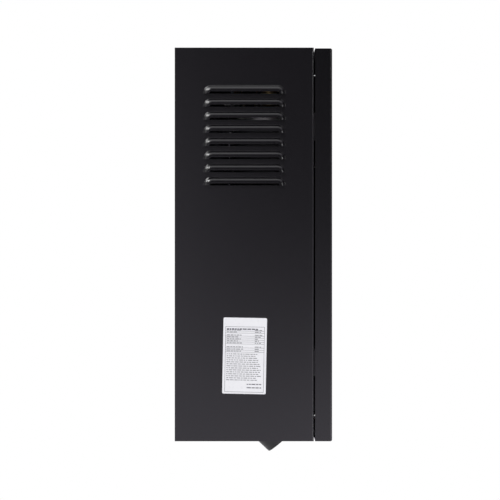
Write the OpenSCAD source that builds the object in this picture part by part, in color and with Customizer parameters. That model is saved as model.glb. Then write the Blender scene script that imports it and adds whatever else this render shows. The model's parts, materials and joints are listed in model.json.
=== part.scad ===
// Wall-hung electric boiler in a folded sheet-metal cabinet with a hinged front door.
// Behind the door: a heat exchanger tank with tubular elements, a circulation pump,
// a flat expansion vessel, a safety manifold and the electrics.
// The wall is the plane y = 0 and the door faces -Y. The cabinet's lower edge is
// z = 0, and x = 0 is its middle. All sizes are in millimetres.

/* [Cabinet] */
// Width over both side panels
cabinet_w = 370; // [364:1:400]
// Height of the side panels
cabinet_h = 600; // [590:1:660]
// Depth of the side panels, from the wall to the door gap
cabinet_d = 212; // [211:1:230]
// Thickness of the sheet steel
sheet_t = 1.2; // [1:0.1:1.5]
// Outer radius of the folds
fold_r = 2.4; // [2:0.1:2.8]
// Width of the folded rim round the front opening
rim_w = 16; // [15:1:20]
// Seam between two folded edges
seam = 0.3; // [0.2:0.05:0.5]
// Height of the bottom panel above the lower edge
floor_z = 20; // [18:1:24]
// Width of the folded legs of the back, top and bottom panels
leg_w = 12; // [9:1:14]

/* [Louvres] */
// Number of louvres in each side panel
louvre_count = 8; // [2:1:9]
// Distance from one louvre to the next
louvre_pitch = 20; // [18:0.5:21]
// Length of a louvre over its rounded ends
louvre_l = 126.5; // [90:0.5:150]
// Height of a louvre, from its cut line to its top
louvre_h = 13.4; // [11.5:0.1:14]
// How far a louvre stands out of the panel
louvre_out = 5.6; // [5:0.1:6.5]
// Radius of the louvre's shoulder
louvre_shoulder_r = 8; // [7.5:0.1:8.5]
// Radius of the hollow where a louvre meets the panel
louvre_foot_r = 1.6; // [1.2:0.1:2]
// Height of the open slot under a louvre's lip
louvre_slot_h = 3; // [2:0.1:4]
// How much shorter the slot is than its louvre
louvre_slot_short = 19.5; // [10:0.5:24]
// Distance from the cabinet's top to the first louvre
louvre_drop = 56.7; // [45:0.1:70]
// Distance from the wall to the middle of the louvres
louvre_y = 106.3; // [95:0.1:115]

/* [Door] */
// Depth of the door's folded edge
door_d = 26; // [25:0.5:30]
// Gap between the cabinet and the door
door_gap = 2; // [1.8:0.1:2.6]
// Outer radius of the door's folds
door_fold_r = 2.8; // [2.4:0.1:3.2]
// How much lower the door's top edge is than the cabinet's
door_drop = 1.2; // [0.8:0.1:2]
// Distance from the door's side to the hinge line
hinge_inset = 6; // [5.8:0.1:6.4]
// Distance from the door's rear edge to the hinge line
hinge_ahead = 10; // [9.5:0.1:10.5]
// Radius of a hinge pin
hinge_pin_r = 3; // [2.5:0.1:3.2]
// Running clearance of a hinge pin in the door
pin_fit = 0.06; // [0.04:0.01:0.09]
// Thickness of a hinge ear
ear_t = 4; // [3:0.5:5]
// Thickness of the plates that stiffen the door at its pins
door_plate_t = 3; // [2:0.5:4]

/* [Control fascia] */
// Width of the fascia's opening in the door
fascia_w = 150; // [140:1:170]
// Height of the fascia's opening
fascia_h = 52; // [48:1:60]
// Corner radius of that opening
fascia_r = 6; // [4:0.5:10]
// Height of the fascia's middle above the lower edge
fascia_z = 430; // [420:1:450]
// How deep the fascia's face lies behind the door's face
fascia_inset = 0.3; // [0.2:0.1:0.6]
// Width of the display window
window_w = 76; // [60:1:80]
// Height of the display window
window_h = 34; // [28:1:36]
// Radius of a push button
button_r = 6; // [5:0.1:6.5]
// Distance between the push buttons
button_pitch = 18; // [16:0.5:19]
// Travel of a push button
button_travel = 0.8; // [0.6:0.1:0.9]

/* [Water side] */
// Distance of the tank's axis from the cabinet's middle
tank_x = 75; // [73:1:77]
// Outer radius of the tank
tank_r = 50; // [49:0.5:50.5]
// Wall of the tank
tank_wall = 2; // [1.5:0.1:2.5]
// Lower end of the tank
tank_z0 = 218; // [214:1:222]
// Distance from the cabinet's top to the tank's upper end
tank_drop = 100; // [90:1:110]
// Thickness of the insulating jacket
jacket_t = 8; // [7:0.5:9]
// Radius of the element flange
flange_r = 64; // [63:0.5:65]
// Thickness of the element flange
flange_t = 8; // [6:1:10]
// Number of flange bolts
flange_bolt_count = 6; // [6:1:8]
// Radius of an element tube
element_r = 4.2; // [3.5:0.1:4.3]
// Number of U-shaped elements
element_count = 3; // [3:1:3]
// Radius of the expansion vessel
vessel_r = 150; // [140:1:155]
// Thickness of the expansion vessel
vessel_d = 78; // [70:1:79]
// Distance from the cabinet's top to the vessel's middle
vessel_drop = 200; // [195:1:205]
// Distance from the wall to the cross bars
bar_y = 86; // [85:0.5:87]
// Height of the lower cross bar
low_bar_z = 235; // [232:1:240]
// Distance from the cabinet's top to the upper cross bar
high_bar_drop = 235; // [228:1:250]
// Distance from the wall to the pipes' axes
pipe_y = 116; // [114:1:118]
// Outer radius of the pipes
pipe_r = 11; // [10:0.5:11.5]
// Wall of the pipes
pipe_wall = 1; // [0.8:0.1:1.5]
// Outer radius of the threaded pipe ends
thread_r = 13.2; // [13:0.05:13.3]
// How far the pipe ends reach below the lower edge
nipple_drop = 6; // [2:0.5:8]
// Distance of the supply pipe from the cabinet's middle
supply_x = 5; // [3:1:7]
// Distance of the relief outlet from the wall
outlet_y = 158; // [156:1:162]
// Height of the pump's middle
pump_z = 120; // [118:1:122]
// Half the distance between the pump's ports
pump_half = 65; // [64:0.5:66]
// Radius of the pump motor
motor_r = 42; // [38:0.5:43]
// Height of the safety manifold
manifold_z = 150; // [146:1:156]

/* [Gauge] */
// Distance of the gauge from the left side panel
gauge_in = 45; // [43:1:48]
// Distance of the dial's middle from the cabinet's front
gauge_behind = 52.1; // [50:0.1:54]
// How far the dial's middle lies below the lower edge
gauge_drop = 4.4; // [3:0.1:6]
// Slope of the dial's face above the horizontal
gauge_tilt = 40; // [38:1:42]
// Outer radius of the gauge's bezel
gauge_r = 22; // [21:0.1:23]
// Taper of the gauge's housing
gauge_taper = 6.5; // [4:0.1:8]
// Full turn of the gauge pointer, in degrees
gauge_sweep = 270; // [240:5:300]

/* [Electrics] */
// Left edge of the electronics plate, from the middle
plate_x0 = 28; // [26:1:32]
// Distance of the plate's right edge from the side panel
plate_gap = 9; // [7:1:12]
// Thickness of the electronics plate
plate_t = 1.2; // [1:0.1:1.5]
// Height of the terminal rail
low_rail_z = 95; // [90:1:105]
// Distance from the cabinet's top to the contactor rail
high_rail_drop = 285; // [270:1:290]
// Width of the rating label
label_w = 66.4; // [60:0.1:70]
// Height of the rating label
label_h = 116; // [110:0.5:120]
// Distance of the label's middle from the wall
label_y = 106.5; // [100:0.1:115]
// Height of the label's middle
label_z = 130.2; // [120:0.1:140]
// How far the label is turned, in degrees
label_turn = 1.1; // [-2:0.1:2]
// Thickness of the label
label_t = 0.2; // [0.1:0.05:0.3]

/* [Wall bracket] */
// Distance from the cabinet's top to the ledge that the back panel hangs on
bracket_drop = 83; // [75:1:100]
// Length of the bracket
bracket_l = 216; // [190:1:240]
// Height of the bracket's plate
bracket_h = 42; // [36:1:50]
// Height of the bracket's hook above its ledge
hook_h = 10; // [8:0.5:12]
// Thickness of the bracket
bracket_t = 1.6; // [1.5:0.1:2]
// Distance between the bracket's wall screws
bracket_pitch = 160; // [120:5:180]
// Radius of the holes for the wall screws
bracket_hole_r = 4; // [3:0.5:5]

/* [Hidden] */
$fn = 72;

// Shared places
half_w = cabinet_w / 2;
inner_x = half_w - sheet_t;
front_y = -cabinet_d;
floor_top = floor_z + sheet_t;
ceiling_z = cabinet_h - sheet_t;
rim_gap_w = cabinet_w - 2 * (rim_w + seam);
clip = 1;

// Door and hinge
door_rear = -(cabinet_d + door_gap);
door_front = door_rear - door_d;
door_inner = door_front + sheet_t;
door_top = cabinet_h - door_drop;
hinge_x = half_w - hinge_inset;
hinge_y = door_rear - hinge_ahead;
ear_gap = 0.3;
ear_low_z = sheet_t + door_plate_t + ear_gap;
ear_high_z = door_top - sheet_t - door_plate_t - ear_gap - ear_t;
ear_r = 4.3;
ear_arm_x0 = hinge_x - ear_r;
ear_arm_x1 = half_w - fold_r - seam;
ear_foot_h = floor_z - ear_low_z - 1;
ear_foot_t = 3;

// Window in the back panel: it reaches as far below the bracket as the hook is high
bracket_z = cabinet_h - bracket_drop;
window_drop = bracket_h + hook_h + 2;

// Louvre section: the shoulder's arc meets the foot's arc at one point
louvre_top_v = louvre_h - sqrt(pow(louvre_shoulder_r + louvre_foot_r, 2)
    - pow(louvre_foot_r - louvre_out + louvre_shoulder_r, 2));
louvre_lap = 0.5;

// Fascia
fascia_face = door_front + fascia_inset;
fascia_lip = 8;
fascia_lip_t = 2.5;
fascia_back = door_inner + fascia_lip_t;
window_x = -fascia_w / 2 + 12 + window_w / 2;
window_t = 1.8;
window_ledge = 3;
board_y = fascia_back + 8.3;
board_t = 1.6;
button_x = fascia_w / 2 - 12 - button_r;
button_row = [-1, 0, 1];
button_gap = 0.2;
button_flange = 1.5;

// Magnetic catches
catch_w = 9;
catch_h = 42;
catch_l = 17;
catch_x = -half_w + 9.5;
catch_z = [120, cabinet_h - 120];

// Expansion vessel
vessel_z = cabinet_h - vessel_drop;
vessel_foot = 3;
vessel_rear = -(sheet_t + vessel_foot);

// Tank and what stands on it
tank_z1 = cabinet_h - tank_drop;
high_bar_z = cabinet_h - high_bar_drop;
bar_t = 1.2;
bar_h = 24;
bar_front = -(bar_y + bar_t);
strap_t = 1.5;
dish_r = 12;
jacket_r = tank_r + jacket_t;
strap_fit = 0.2;
strap_r = jacket_r + strap_fit + strap_t;
tank_y = bar_front - strap_r - 0.4;
gasket_t = 2;
collar_t = 8;
flange_z = tank_z1 + gasket_t;
flange_top = flange_z + flange_t;
bolt_ring_r = tank_r + 6.7;
bolt_r = 3;
element_in_r = 21.5;
element_bend = 10.5;
element_bottom = tank_z0 + 40;
vent_r = 15;
vent_neck_h = 6;

// Pump and pipes
port_r = 23.4;
nut_r = 28;
nut_h = 20;
volute_r = 44;
volute_back = 16;
volute_front = 20;
scroll_r = 14;
motor_y = -(pipe_y + volute_front);
motor_l = 72;
shaft_r = 4;
box_z = pump_z + motor_r + 2;
box_h = 32;
box_d = 50;
box_y = motor_y - 12;
knob_r = 10;
pipe_end_z = -nipple_drop;
lock_nut_r = 20;
lock_nut_h = 7;
hole_fit = 0.4;
thread_step = 0.3;
outlet_r = 10.4;
manifold_w = 34;
manifold_d = 28;
manifold_h = 32;
valve_r = 12;
valve_l = outlet_y - pipe_y - manifold_d / 2 + 22;
relief_knob_y = -(pipe_y + manifold_d / 2 + valve_l);
vessel_pipe_r = 5;

// Gauge
gauge_x = -(half_w - gauge_in);
gauge_y = cabinet_d - gauge_behind;
gauge_hole_r = 4;
gauge_cup_r = gauge_r - 1.6;
gauge_cup_d = 7;
gauge_back_y = -gauge_y + (floor_z + gauge_drop) * tan(gauge_tilt);

// Electrics
plate_x1 = inner_x - plate_gap;
plate_y = bar_front - plate_t;
plate_top = cabinet_h - 25;
fold_z = high_bar_z + bar_h / 2 + 3;
high_rail_z = cabinet_h - high_rail_drop;
rail_d = 7.5;
rail_h = 35;
contactor_w = 45;
contactor_h = 74;
contactor_d = 70;
contactor_x = [plate_x0 + 32, plate_x0 + 80];
contactor_face = plate_y - rail_d - contactor_d;
cutout_x = plate_x1 - 20;
cutout_z = low_bar_z;
cutout_d = 26;
terminal_x0 = plate_x0 + 62;
terminal_w = 11;
terminal_count = 5;
gland_x = [110, 142];
gland_r = [11.9, 7.9];

// A rectangle whose first corner is round
module rounded_corner(w, d, r) {
    translate([r, 0])
        square([w - r, d]);
    translate([0, r])
        square([w, d - r]);
    translate([r, r])
        circle(r);
}

// The section of a sheet folded once, one leg along X and one along Y
module fold_section(leg_x, leg_y) {
    difference() {
        rounded_corner(leg_x, leg_y, fold_r);
        translate([sheet_t, sheet_t])
            rounded_corner(leg_x, leg_y, fold_r - sheet_t);
    }
}

// A rectangle whose two front corners are round, standing on y = 0
module rounded_front(w, d, r) {
    translate([-w / 2, r])
        square([w, d - r]);
    translate([-w / 2 + r, 0])
        square([w - 2 * r, d]);
    for (side = [-1, 1]) {
        translate([side * (w / 2 - r), r])
            circle(r);
    }
}

// A rectangle with four round corners, round its own middle
module rounded_plate(w, h, r) {
    square([w - 2 * r, h], center = true);
    square([w, h - 2 * r], center = true);
    for (side = [-1, 1], end = [-1, 1]) {
        translate([side * (w / 2 - r), end * (h / 2 - r)])
            circle(r);
    }
}

// Stands a flat outline up at y, with its thickness reaching back to the wall
module stand_up(y, thickness) {
    translate([0, y + thickness, 0])
        rotate([90, 0, 0])
            linear_extrude(thickness)
                children();
}

// A rod from a point towards the front
module front_rod(x, y, z, r, length) {
    translate([x, y, z])
        rotate([90, 0, 0])
            cylinder(h = length, r = r);
}

// A rod from a point towards the right
module side_rod(x, y, z, r, length) {
    translate([x, y, z])
        rotate([0, 90, 0])
            cylinder(h = length, r = r);
}

// A hexagonal nut or bolt head, measured over its corners, with both its rims turned off
module hexagon(r, height) {
    rim = 0.12 * r;
    intersection() {
        cylinder(h = height, r = r, $fn = 6);
        rotate_extrude()
            polygon([
                [0, 0], [r - rim, 0], [r + rim, rim], [r + rim, height - rim], [r - rim, height], [0, height]
            ]);
    }
}

// A cutter for a round hole through a thickness that starts at z = 0
module drill(thickness, r) {
    translate([0, 0, -clip])
        cylinder(h = thickness + 2 * clip, r = r);
}

// Puts a child on the tank's axis, or on the axis of the pump and the return pipe
module at_tank(z) {
    translate([-tank_x, tank_y, z])
        children();
}

module at_riser(z) {
    translate([-tank_x, -pipe_y, z])
        children();
}

// A disc whose rim is round on the side that lies on z = 0
module round_disc(r, height, rim_r) {
    rotate_extrude()
        mirror([1, 0])
            translate([-r, 0])
                rounded_corner(r, height, rim_r);
}

// Puts a child that stands along Z onto a point, along one of the main directions
module along(point, way) {
    across = [way[2], way[0], way[1]];
    third = cross(way, across);
    multmatrix([
        [across[0], third[0], way[0], point[0]],
        [across[1], third[1], way[1], point[1]],
        [across[2], third[2], way[2], point[2]],
        [0, 0, 0, 1]
    ])
        children();
}

// A quarter bend at a corner, from the direction that comes in to the one that goes out
module quarter_bend(corner, way_in, way_out, bend, r) {
    out = -way_out;
    third = cross(out, way_in);
    middle = corner - bend * way_in + bend * way_out;
    multmatrix([
        [out[0], way_in[0], third[0], middle[0]],
        [out[1], way_in[1], third[1], middle[1]],
        [out[2], way_in[2], third[2], middle[2]],
        [0, 0, 0, 1]
    ])
        rotate_extrude(angle = 90)
            translate([bend, 0])
                circle(r);
}

// A bent tube through points that lie square to each other
module bent_tube(points, bend, r) {
    last = len(points) - 1;
    ways = [for (i = [0 : last - 1]) (points[i + 1] - points[i]) / norm(points[i + 1] - points[i])];
    for (i = [0 : last - 1]) {
        cut_a = i == 0 ? 0 : bend;
        cut_b = i == last - 1 ? 0 : bend;
        along(points[i] + cut_a * ways[i], ways[i])
            cylinder(h = norm(points[i + 1] - points[i]) - cut_a - cut_b, r = r);
    }
    if (last > 1) {
        for (i = [1 : last - 1]) {
            quarter_bend(points[i], ways[i - 1], ways[i], bend, r);
        }
    }
}

// The area under one side of a louvre's section, pushed in by a skin thickness
module louvre_area(inset, reach) {
    shoulder_r = louvre_shoulder_r - inset;
    foot_r = louvre_foot_r + inset;
    middle = [louvre_top_v, louvre_out - louvre_shoulder_r];
    foot = [louvre_h, louvre_foot_r];
    touch = middle + (foot - middle) * louvre_shoulder_r / (louvre_shoulder_r + louvre_foot_r);
    difference() {
        union() {
            translate([0, -reach])
                square([louvre_top_v, louvre_out - inset + reach]);
            translate([0, -reach])
                square([louvre_h, reach - inset]);
            intersection() {
                translate(middle)
                    circle(shoulder_r);
                translate([louvre_top_v, -reach])
                    square([shoulder_r + 1, louvre_out + reach]);
            }
            polygon([[louvre_top_v, -inset], touch, foot, [louvre_h, -inset]]);
        }
        translate(foot)
            circle(foot_r);
    }
}

// The section of the louvre's skin, from its lip to its foot
module louvre_skin() {
    difference() {
        louvre_area(0, sheet_t);
        louvre_area(sheet_t, 2 * sheet_t);
    }
}

// The opening that a louvre is pressed out of, which the louvre's foot laps by a little
module louvre_opening() {
    straight = louvre_l - 2 * louvre_h;
    r = louvre_h - louvre_lap;
    translate([-straight / 2, 0])
        square([straight, r]);
    for (side = [-1, 1]) {
        intersection() {
            translate([side * straight / 2, 0])
                circle(r);
            translate([side * (straight + r) / 2, r / 2])
                square([r, r], center = true);
        }
    }
}

// One louvre: a pressed hood with domed ends, open below its lip
module louvre() {
    straight = louvre_l - 2 * louvre_h;
    slot_l = louvre_l - louvre_slot_short;
    difference() {
        union() {
            translate([-straight / 2, 0, 0])
                rotate([90, 0, 90])
                    linear_extrude(straight)
                        louvre_skin();
            translate([straight / 2, 0, 0])
                rotate_extrude(angle = 90)
                    louvre_skin();
            translate([-straight / 2, 0, 0])
                rotate([0, 0, 90])
                    rotate_extrude(angle = 90)
                        louvre_skin();
        }
        translate([0, 0, -2 * sheet_t])
            linear_extrude(louvre_out + 4 * sheet_t) {
                translate([-slot_l / 2 + louvre_slot_h, -1])
                    square([slot_l - 2 * louvre_slot_h, louvre_slot_h + 1]);
                for (side = [-1, 1]) {
                    translate([side * (slot_l / 2 - louvre_slot_h), 0])
                        circle(louvre_slot_h);
                }
            }
    }
}

// Places a child of the left side panel's face: X runs to the front, Y up and Z outwards
module on_left_face(y, z) {
    translate([-half_w, -y, z])
        rotate([90, 0, -90])
            children();
}

// The left side panel: a sheet with a folded rim and a bank of louvres
module side_sheet() {
    cut_z = cabinet_h - louvre_drop - louvre_h;
    difference() {
        translate([-half_w, front_y, 0])
            linear_extrude(cabinet_h)
                fold_section(rim_w, cabinet_d);
        for (i = [0 : louvre_count - 1]) {
            on_left_face(louvre_y, cut_z - i * louvre_pitch)
                translate([0, 0, -2 * sheet_t])
                    linear_extrude(4 * sheet_t)
                        louvre_opening();
        }
    }
    for (i = [0 : louvre_count - 1]) {
        on_left_face(louvre_y, cut_z - i * louvre_pitch)
            louvre();
    }
}

module left_side_panel() {
    color("#2c2b2f")
        side_sheet();
}

module right_side_panel() {
    color("#2c2b2f")
        difference() {
            mirror([1, 0, 0])
                side_sheet();
            for (z = [ear_low_z, ear_high_z]) {
                translate([ear_arm_x0 - seam, front_y - 1, z - seam])
                    cube([ear_arm_x1 - ear_arm_x0 + 2 * seam, sheet_t + 2, ear_t + 2 * seam]);
            }
        }
}

// A flat panel between the sides, folded up along its front and both its sides
module folded_panel(depth) {
    wing_y = front_y + sheet_t + seam;
    rear_y = front_y + depth;
    translate([-rim_gap_w / 2, front_y, 0])
        rotate([90, 0, 90])
            linear_extrude(rim_gap_w)
                fold_section(depth, rim_w);
    for (side = [0, 1]) {
        mirror([side, 0, 0]) {
            linear_extrude(sheet_t)
                polygon([
                    [rim_gap_w / 2, wing_y], [inner_x - fold_r, wing_y],
                    [inner_x, wing_y + fold_r], [inner_x, rear_y], [rim_gap_w / 2, rear_y]
                ]);
            translate([inner_x - sheet_t, front_y + leg_w, 0])
                cube([sheet_t, cabinet_d - 2 * leg_w - 1, leg_w]);
        }
    }
}

module top_panel() {
    color("#2c2b2f")
        translate([0, 0, cabinet_h])
            mirror([0, 0, 1])
                folded_panel(cabinet_d);
}

module bottom_panel() {
    color("#2c2b2f")
        difference() {
            translate([0, 0, floor_z])
                folded_panel(cabinet_d - sheet_t);
            for (x = [-tank_x, supply_x]) {
                floor_hole(x, -pipe_y, thread_r);
            }
            floor_hole(supply_x, -outlet_y, outlet_r);
            floor_hole(gauge_x, gauge_back_y, gauge_hole_r);
            for (i = [0, 1]) {
                floor_hole(gland_x[i], -pipe_y, gland_r[i]);
            }
        }
}

// A round hole through the bottom panel
module floor_hole(x, y, r) {
    translate([x, y, floor_z])
        drill(sheet_t, r + hole_fit);
}

module back_panel() {
    color("#2c2b2f")
        difference() {
            union() {
                translate([-inner_x, -sheet_t, 0])
                    cube([2 * inner_x, sheet_t, ceiling_z]);
                for (side = [0, 1]) {
                    mirror([side, 0, 0])
                        translate([inner_x - sheet_t, -leg_w, floor_top + seam])
                            cube([sheet_t, leg_w, ceiling_z - floor_top - 2 * seam]);
                }
            }
            translate([-bracket_l / 2 - 4, -2 * sheet_t, bracket_z - window_drop])
                cube([bracket_l + 8, 3 * sheet_t, window_drop]);
        }
}

// Wall bracket: a plate in the panel's window with a hook that the panel hangs on
module wall_bracket() {
    hook_y = -sheet_t - seam;
    color("#9a9da2")
        difference() {
            translate([-bracket_l / 2, 0, bracket_z])
                rotate([90, 0, 90])
                    linear_extrude(bracket_l)
                        polygon([
                            [0, -bracket_h], [0, 0], [hook_y, 0], [hook_y, hook_h],
                            [hook_y - bracket_t, hook_h], [hook_y - bracket_t, -bracket_t],
                            [-bracket_t, -bracket_t], [-bracket_t, -bracket_h]
                        ]);
            for (side = [-1, 1]) {
                front_rod(
                    side * bracket_pitch / 2, clip, bracket_z - bracket_h / 2, bracket_hole_r,
                    bracket_t + 2 * clip);
            }
        }
}

// Screws of the casing: under the bottom panel's corners
module casing_screws() {
    color("#8b8d92")
        for (x = [-1, 1], y = [-30, -cabinet_d + 26]) {
            translate([x * (half_w - 22), y, floor_z - 2.2]) {
                cylinder(h = 1.2, r1 = 2.7, r2 = 3.6);
                translate([0, 0, 1.2])
                    cylinder(h = 1, r = 3.6);
            }
        }
}

// Hinge ears: a foot behind the rim and an arm that carries the pin
module hinge_ear(z, foot_down) {
    foot_y = front_y + sheet_t;
    difference() {
        union() {
            translate([ear_arm_x0, hinge_y, z])
                cube([ear_arm_x1 - ear_arm_x0, foot_y + ear_foot_t - hinge_y, ear_t]);
            translate([hinge_x, hinge_y, z])
                cylinder(h = ear_t, r = ear_r);
            translate([ear_arm_x0, foot_y, foot_down ? z + ear_t - ear_foot_h : z])
                cube([ear_arm_x1 - ear_arm_x0, ear_foot_t, ear_foot_h]);
        }
        translate([hinge_x, hinge_y, z])
            drill(ear_t, hinge_pin_r + 0.02);
    }
}

module hinge_ears() {
    color("#8b8d92") {
        hinge_ear(ear_low_z, false);
        hinge_ear(ear_high_z, true);
    }
}

module hinge_pins() {
    color("#c0c2c6") {
        translate([hinge_x, hinge_y, 0.4])
            cylinder(h = ear_low_z + ear_t - 0.4, r = hinge_pin_r);
        translate([hinge_x, hinge_y, ear_high_z])
            cylinder(h = door_top - 0.4 - ear_high_z, r = hinge_pin_r);
    }
}

// Magnetic catches on the left rim, and the plates on the door that they hold
module magnetic_catches() {
    color("#202022")
        for (z = catch_z) {
            translate([catch_x, front_y - catch_l / 2, z])
                rotate([90, 0, 0])
                    linear_extrude(catch_l, center = true)
                        rounded_plate(catch_w, catch_h, 2);
        }
}

module catch_plates() {
    plate_l = -door_inner - cabinet_d - catch_l - seam;
    color("#b4b6ba")
        for (z = catch_z) {
            translate([catch_x, door_inner + plate_l / 2, z])
                rotate([90, 0, 0])
                    linear_extrude(plate_l, center = true)
                        rounded_plate(catch_w + 2, catch_h - 6, 1.5);
        }
}

module rating_label() {
    color("#ececf2")
        on_left_face(label_y, label_z)
            rotate([0, 0, -label_turn])
                linear_extrude(label_t)
                    rounded_plate(label_w, label_h, 2.2);
}

// Cross bars from side to side, with a tab folded forwards at each end
module cross_bar(z) {
    translate([-inner_x, bar_front, z - bar_h / 2])
        cube([2 * inner_x, bar_t, bar_h]);
    for (side = [0, 1]) {
        mirror([side, 0, 0])
            translate([inner_x - bar_t, bar_front - leg_w, z - bar_h / 2])
                cube([bar_t, leg_w, bar_h]);
    }
}

module cross_bars() {
    color("#9a9da2") {
        cross_bar(low_bar_z);
        cross_bar(high_bar_z);
    }
}

// Mounting rail on the electronics plate, open towards the plate
module rail(z) {
    translate([plate_x0 + 8, plate_y, z])
        rotate([90, 0, 90])
            linear_extrude(plate_x1 - plate_x0 - 16) {
                polygon([
                    [0, -13.5], [0, 13.5], [1 - rail_d, 13.5], [1 - rail_d, rail_h / 2],
                    [-rail_d, rail_h / 2], [-rail_d, 12.5], [-1, 12.5], [-1, -12.5],
                    [-rail_d, -12.5], [-rail_d, -rail_h / 2], [1 - rail_d, -rail_h / 2],
                    [1 - rail_d, -13.5]
                ]);
            }
}

module electronics_plate() {
    plate_w = plate_x1 - plate_x0;
    color("#b9bcc0") {
        difference() {
            translate([plate_x0, plate_y, floor_top])
                cube([plate_w, plate_t, plate_top - floor_top]);
            for (z = [plate_top - 35, low_rail_z + 105]) {
                front_rod(plate_x0 + plate_w / 2, 1 + bar_front, z, 9, plate_t + 2);
            }
        }
        translate([plate_x1 - plate_t, plate_y - leg_w, floor_top])
            cube([plate_t, leg_w, plate_top - floor_top]);
        translate([plate_x0, bar_front, fold_z])
            cube([plate_t, vessel_rear - vessel_d - bar_front - seam, plate_top - fold_z]);
        rail(low_rail_z);
        rail(high_rail_z);
    }
}

// Flat expansion vessel: two pressed dishes joined at a crimped rim
module expansion_vessel() {
    flat_r = vessel_r * 0.62;
    color("#a01d1a")
        difference() {
            translate([0, vessel_rear, vessel_z])
                rotate([90, 0, 0])
                    vessel_body(flat_r);
            front_rod(0, vessel_rear - vessel_d + 4, vessel_z, 3, 10);
        }
}

module vessel_body(flat_r) {
    // Half the dish is a flat disc and the rest an arc down to the rim
    drop = vessel_r - flat_r;
    rise = vessel_d / 2 - 4;
    arc_r = (drop * drop + rise * rise) / (2 * rise);
    rotate_extrude()
        union() {
            translate([0, 0])
                square([flat_r, vessel_d]);
            intersection() {
                translate([flat_r, vessel_d - arc_r])
                    circle(arc_r);
                translate([flat_r, vessel_d / 2])
                    square([drop, vessel_d / 2]);
            }
            intersection() {
                translate([flat_r, arc_r])
                    circle(arc_r);
                translate([flat_r, 0])
                    square([drop, vessel_d / 2]);
            }
            translate([flat_r, vessel_d / 2 - 4])
                square([drop + 3, 8]);
        }
    translate([0, 0, -vessel_foot])
        cylinder(h = vessel_foot + 1, r = 16);
    translate([0, -vessel_r - 12, vessel_d / 2])
        rotate([-90, 0, 0])
            cylinder(h = 14, r = 8);
    translate([0, -vessel_r - 12, vessel_d / 2])
        rotate([-90, 0, 0])
            hexagon(11, 8);
}

module vessel_pipe() {
    y = vessel_rear - vessel_d / 2;
    color("#b87448")
        bent_tube(
            [[0, y, vessel_z - vessel_r - 12], [0, y, manifold_z], [0, -pipe_y + manifold_d / 2, manifold_z]],
            16, vessel_pipe_r);
}

// Heat exchanger tank: a drawn shell with a bolted collar, an inlet below and an outlet at the side
module tank() {
    inlet_z = pump_z + pump_half;
    outlet_z = tank_z1 - 40;
    color("#8f9398")
        difference() {
            union() {
                at_tank(tank_z0)
                    round_disc(tank_r, tank_z1 - tank_z0, dish_r);
                at_tank(tank_z1 - collar_t)
                    cylinder(h = collar_t, r = flange_r);
                at_riser(inlet_z + gasket_t)
                    cylinder(h = tank_z0 - inlet_z + dish_r, r = 12);
                at_riser(inlet_z + gasket_t)
                    cylinder(h = 4, r = port_r - 1);
                side_rod(-tank_x, -pipe_y, outlet_z, 12, tank_r + 2);
            }
            at_tank(tank_z0 + tank_wall)
                round_disc(tank_r - tank_wall, tank_z1 - tank_z0, dish_r - tank_wall);
            at_riser(inlet_z)
                cylinder(h = tank_z0 - inlet_z + dish_r + 2, r = 10);
            side_rod(-tank_x, -pipe_y, outlet_z, 10, tank_r + 10);
            bolt_circle()
                translate([0, 0, tank_z1 - collar_t])
                    drill(collar_t, bolt_r + 0.2);
        }
}

// Puts a child at every flange bolt
module bolt_circle() {
    for (i = [0 : flange_bolt_count - 1]) {
        turn = (i + 0.5) * 360 / flange_bolt_count;
        translate([-tank_x + bolt_ring_r * cos(turn), tank_y + bolt_ring_r * sin(turn), 0])
            children();
    }
}

module tank_jacket() {
    color("#3a3b3d")
        difference() {
            at_tank(tank_z0 + 14)
                cylinder(h = tank_z1 - tank_z0 - 36, r = jacket_r);
            at_tank(tank_z0)
                cylinder(h = tank_z1, r = tank_r + 0.3);
            at_riser(tank_z0)
                cylinder(h = 14.1, r = 12.5);
            side_rod(-tank_x, -pipe_y, tank_z1 - 40, 12.5, tank_r + 20);
        }
}

// A band round the jacket on a plate that lies on a cross bar
module tank_strap(z) {
    difference() {
        union() {
            at_tank(z - 10)
                cylinder(h = 20, r = strap_r);
            translate([-tank_x - 80, bar_front - strap_t, z - 10])
                cube([160, strap_t, 20]);
        }
        at_tank(z - 10)
            drill(20, strap_r - strap_t);
    }
    for (side = [-1, 1]) {
        front_rod(-tank_x + side * 68, bar_front - strap_t, z, 5, 3.5);
    }
}

module tank_straps() {
    color("#b9bcc0") {
        tank_strap(low_bar_z + 4);
        tank_strap(high_bar_z);
    }
}

module flange_disc(thickness, r) {
    difference() {
        at_tank(0)
            cylinder(h = thickness, r = r);
        bolt_circle()
            drill(thickness, bolt_r + 0.2);
    }
}

module flange_gasket() {
    color("#1c1c1c")
        translate([0, 0, tank_z1])
            difference() {
                flange_disc(gasket_t, flange_r - 1);
                at_tank(0)
                    drill(gasket_t, tank_r - tank_wall);
            }
}

// Puts a child at both legs of every element
module element_legs() {
    for (i = [0 : element_count - 1], leg = [0, 1]) {
        turn = 90 + i * 360 / element_count;
        reach = element_in_r + leg * 2 * element_bend;
        translate([-tank_x + reach * cos(turn), tank_y + reach * sin(turn), 0])
            children();
    }
}

module element_flange() {
    color("#a7a49c")
        translate([0, 0, flange_z])
            difference() {
                flange_disc(flange_t, flange_r);
                element_legs()
                    drill(flange_t, element_r + 0.05);
                at_tank(0)
                    drill(flange_t, 6.55);
            }
}

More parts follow.
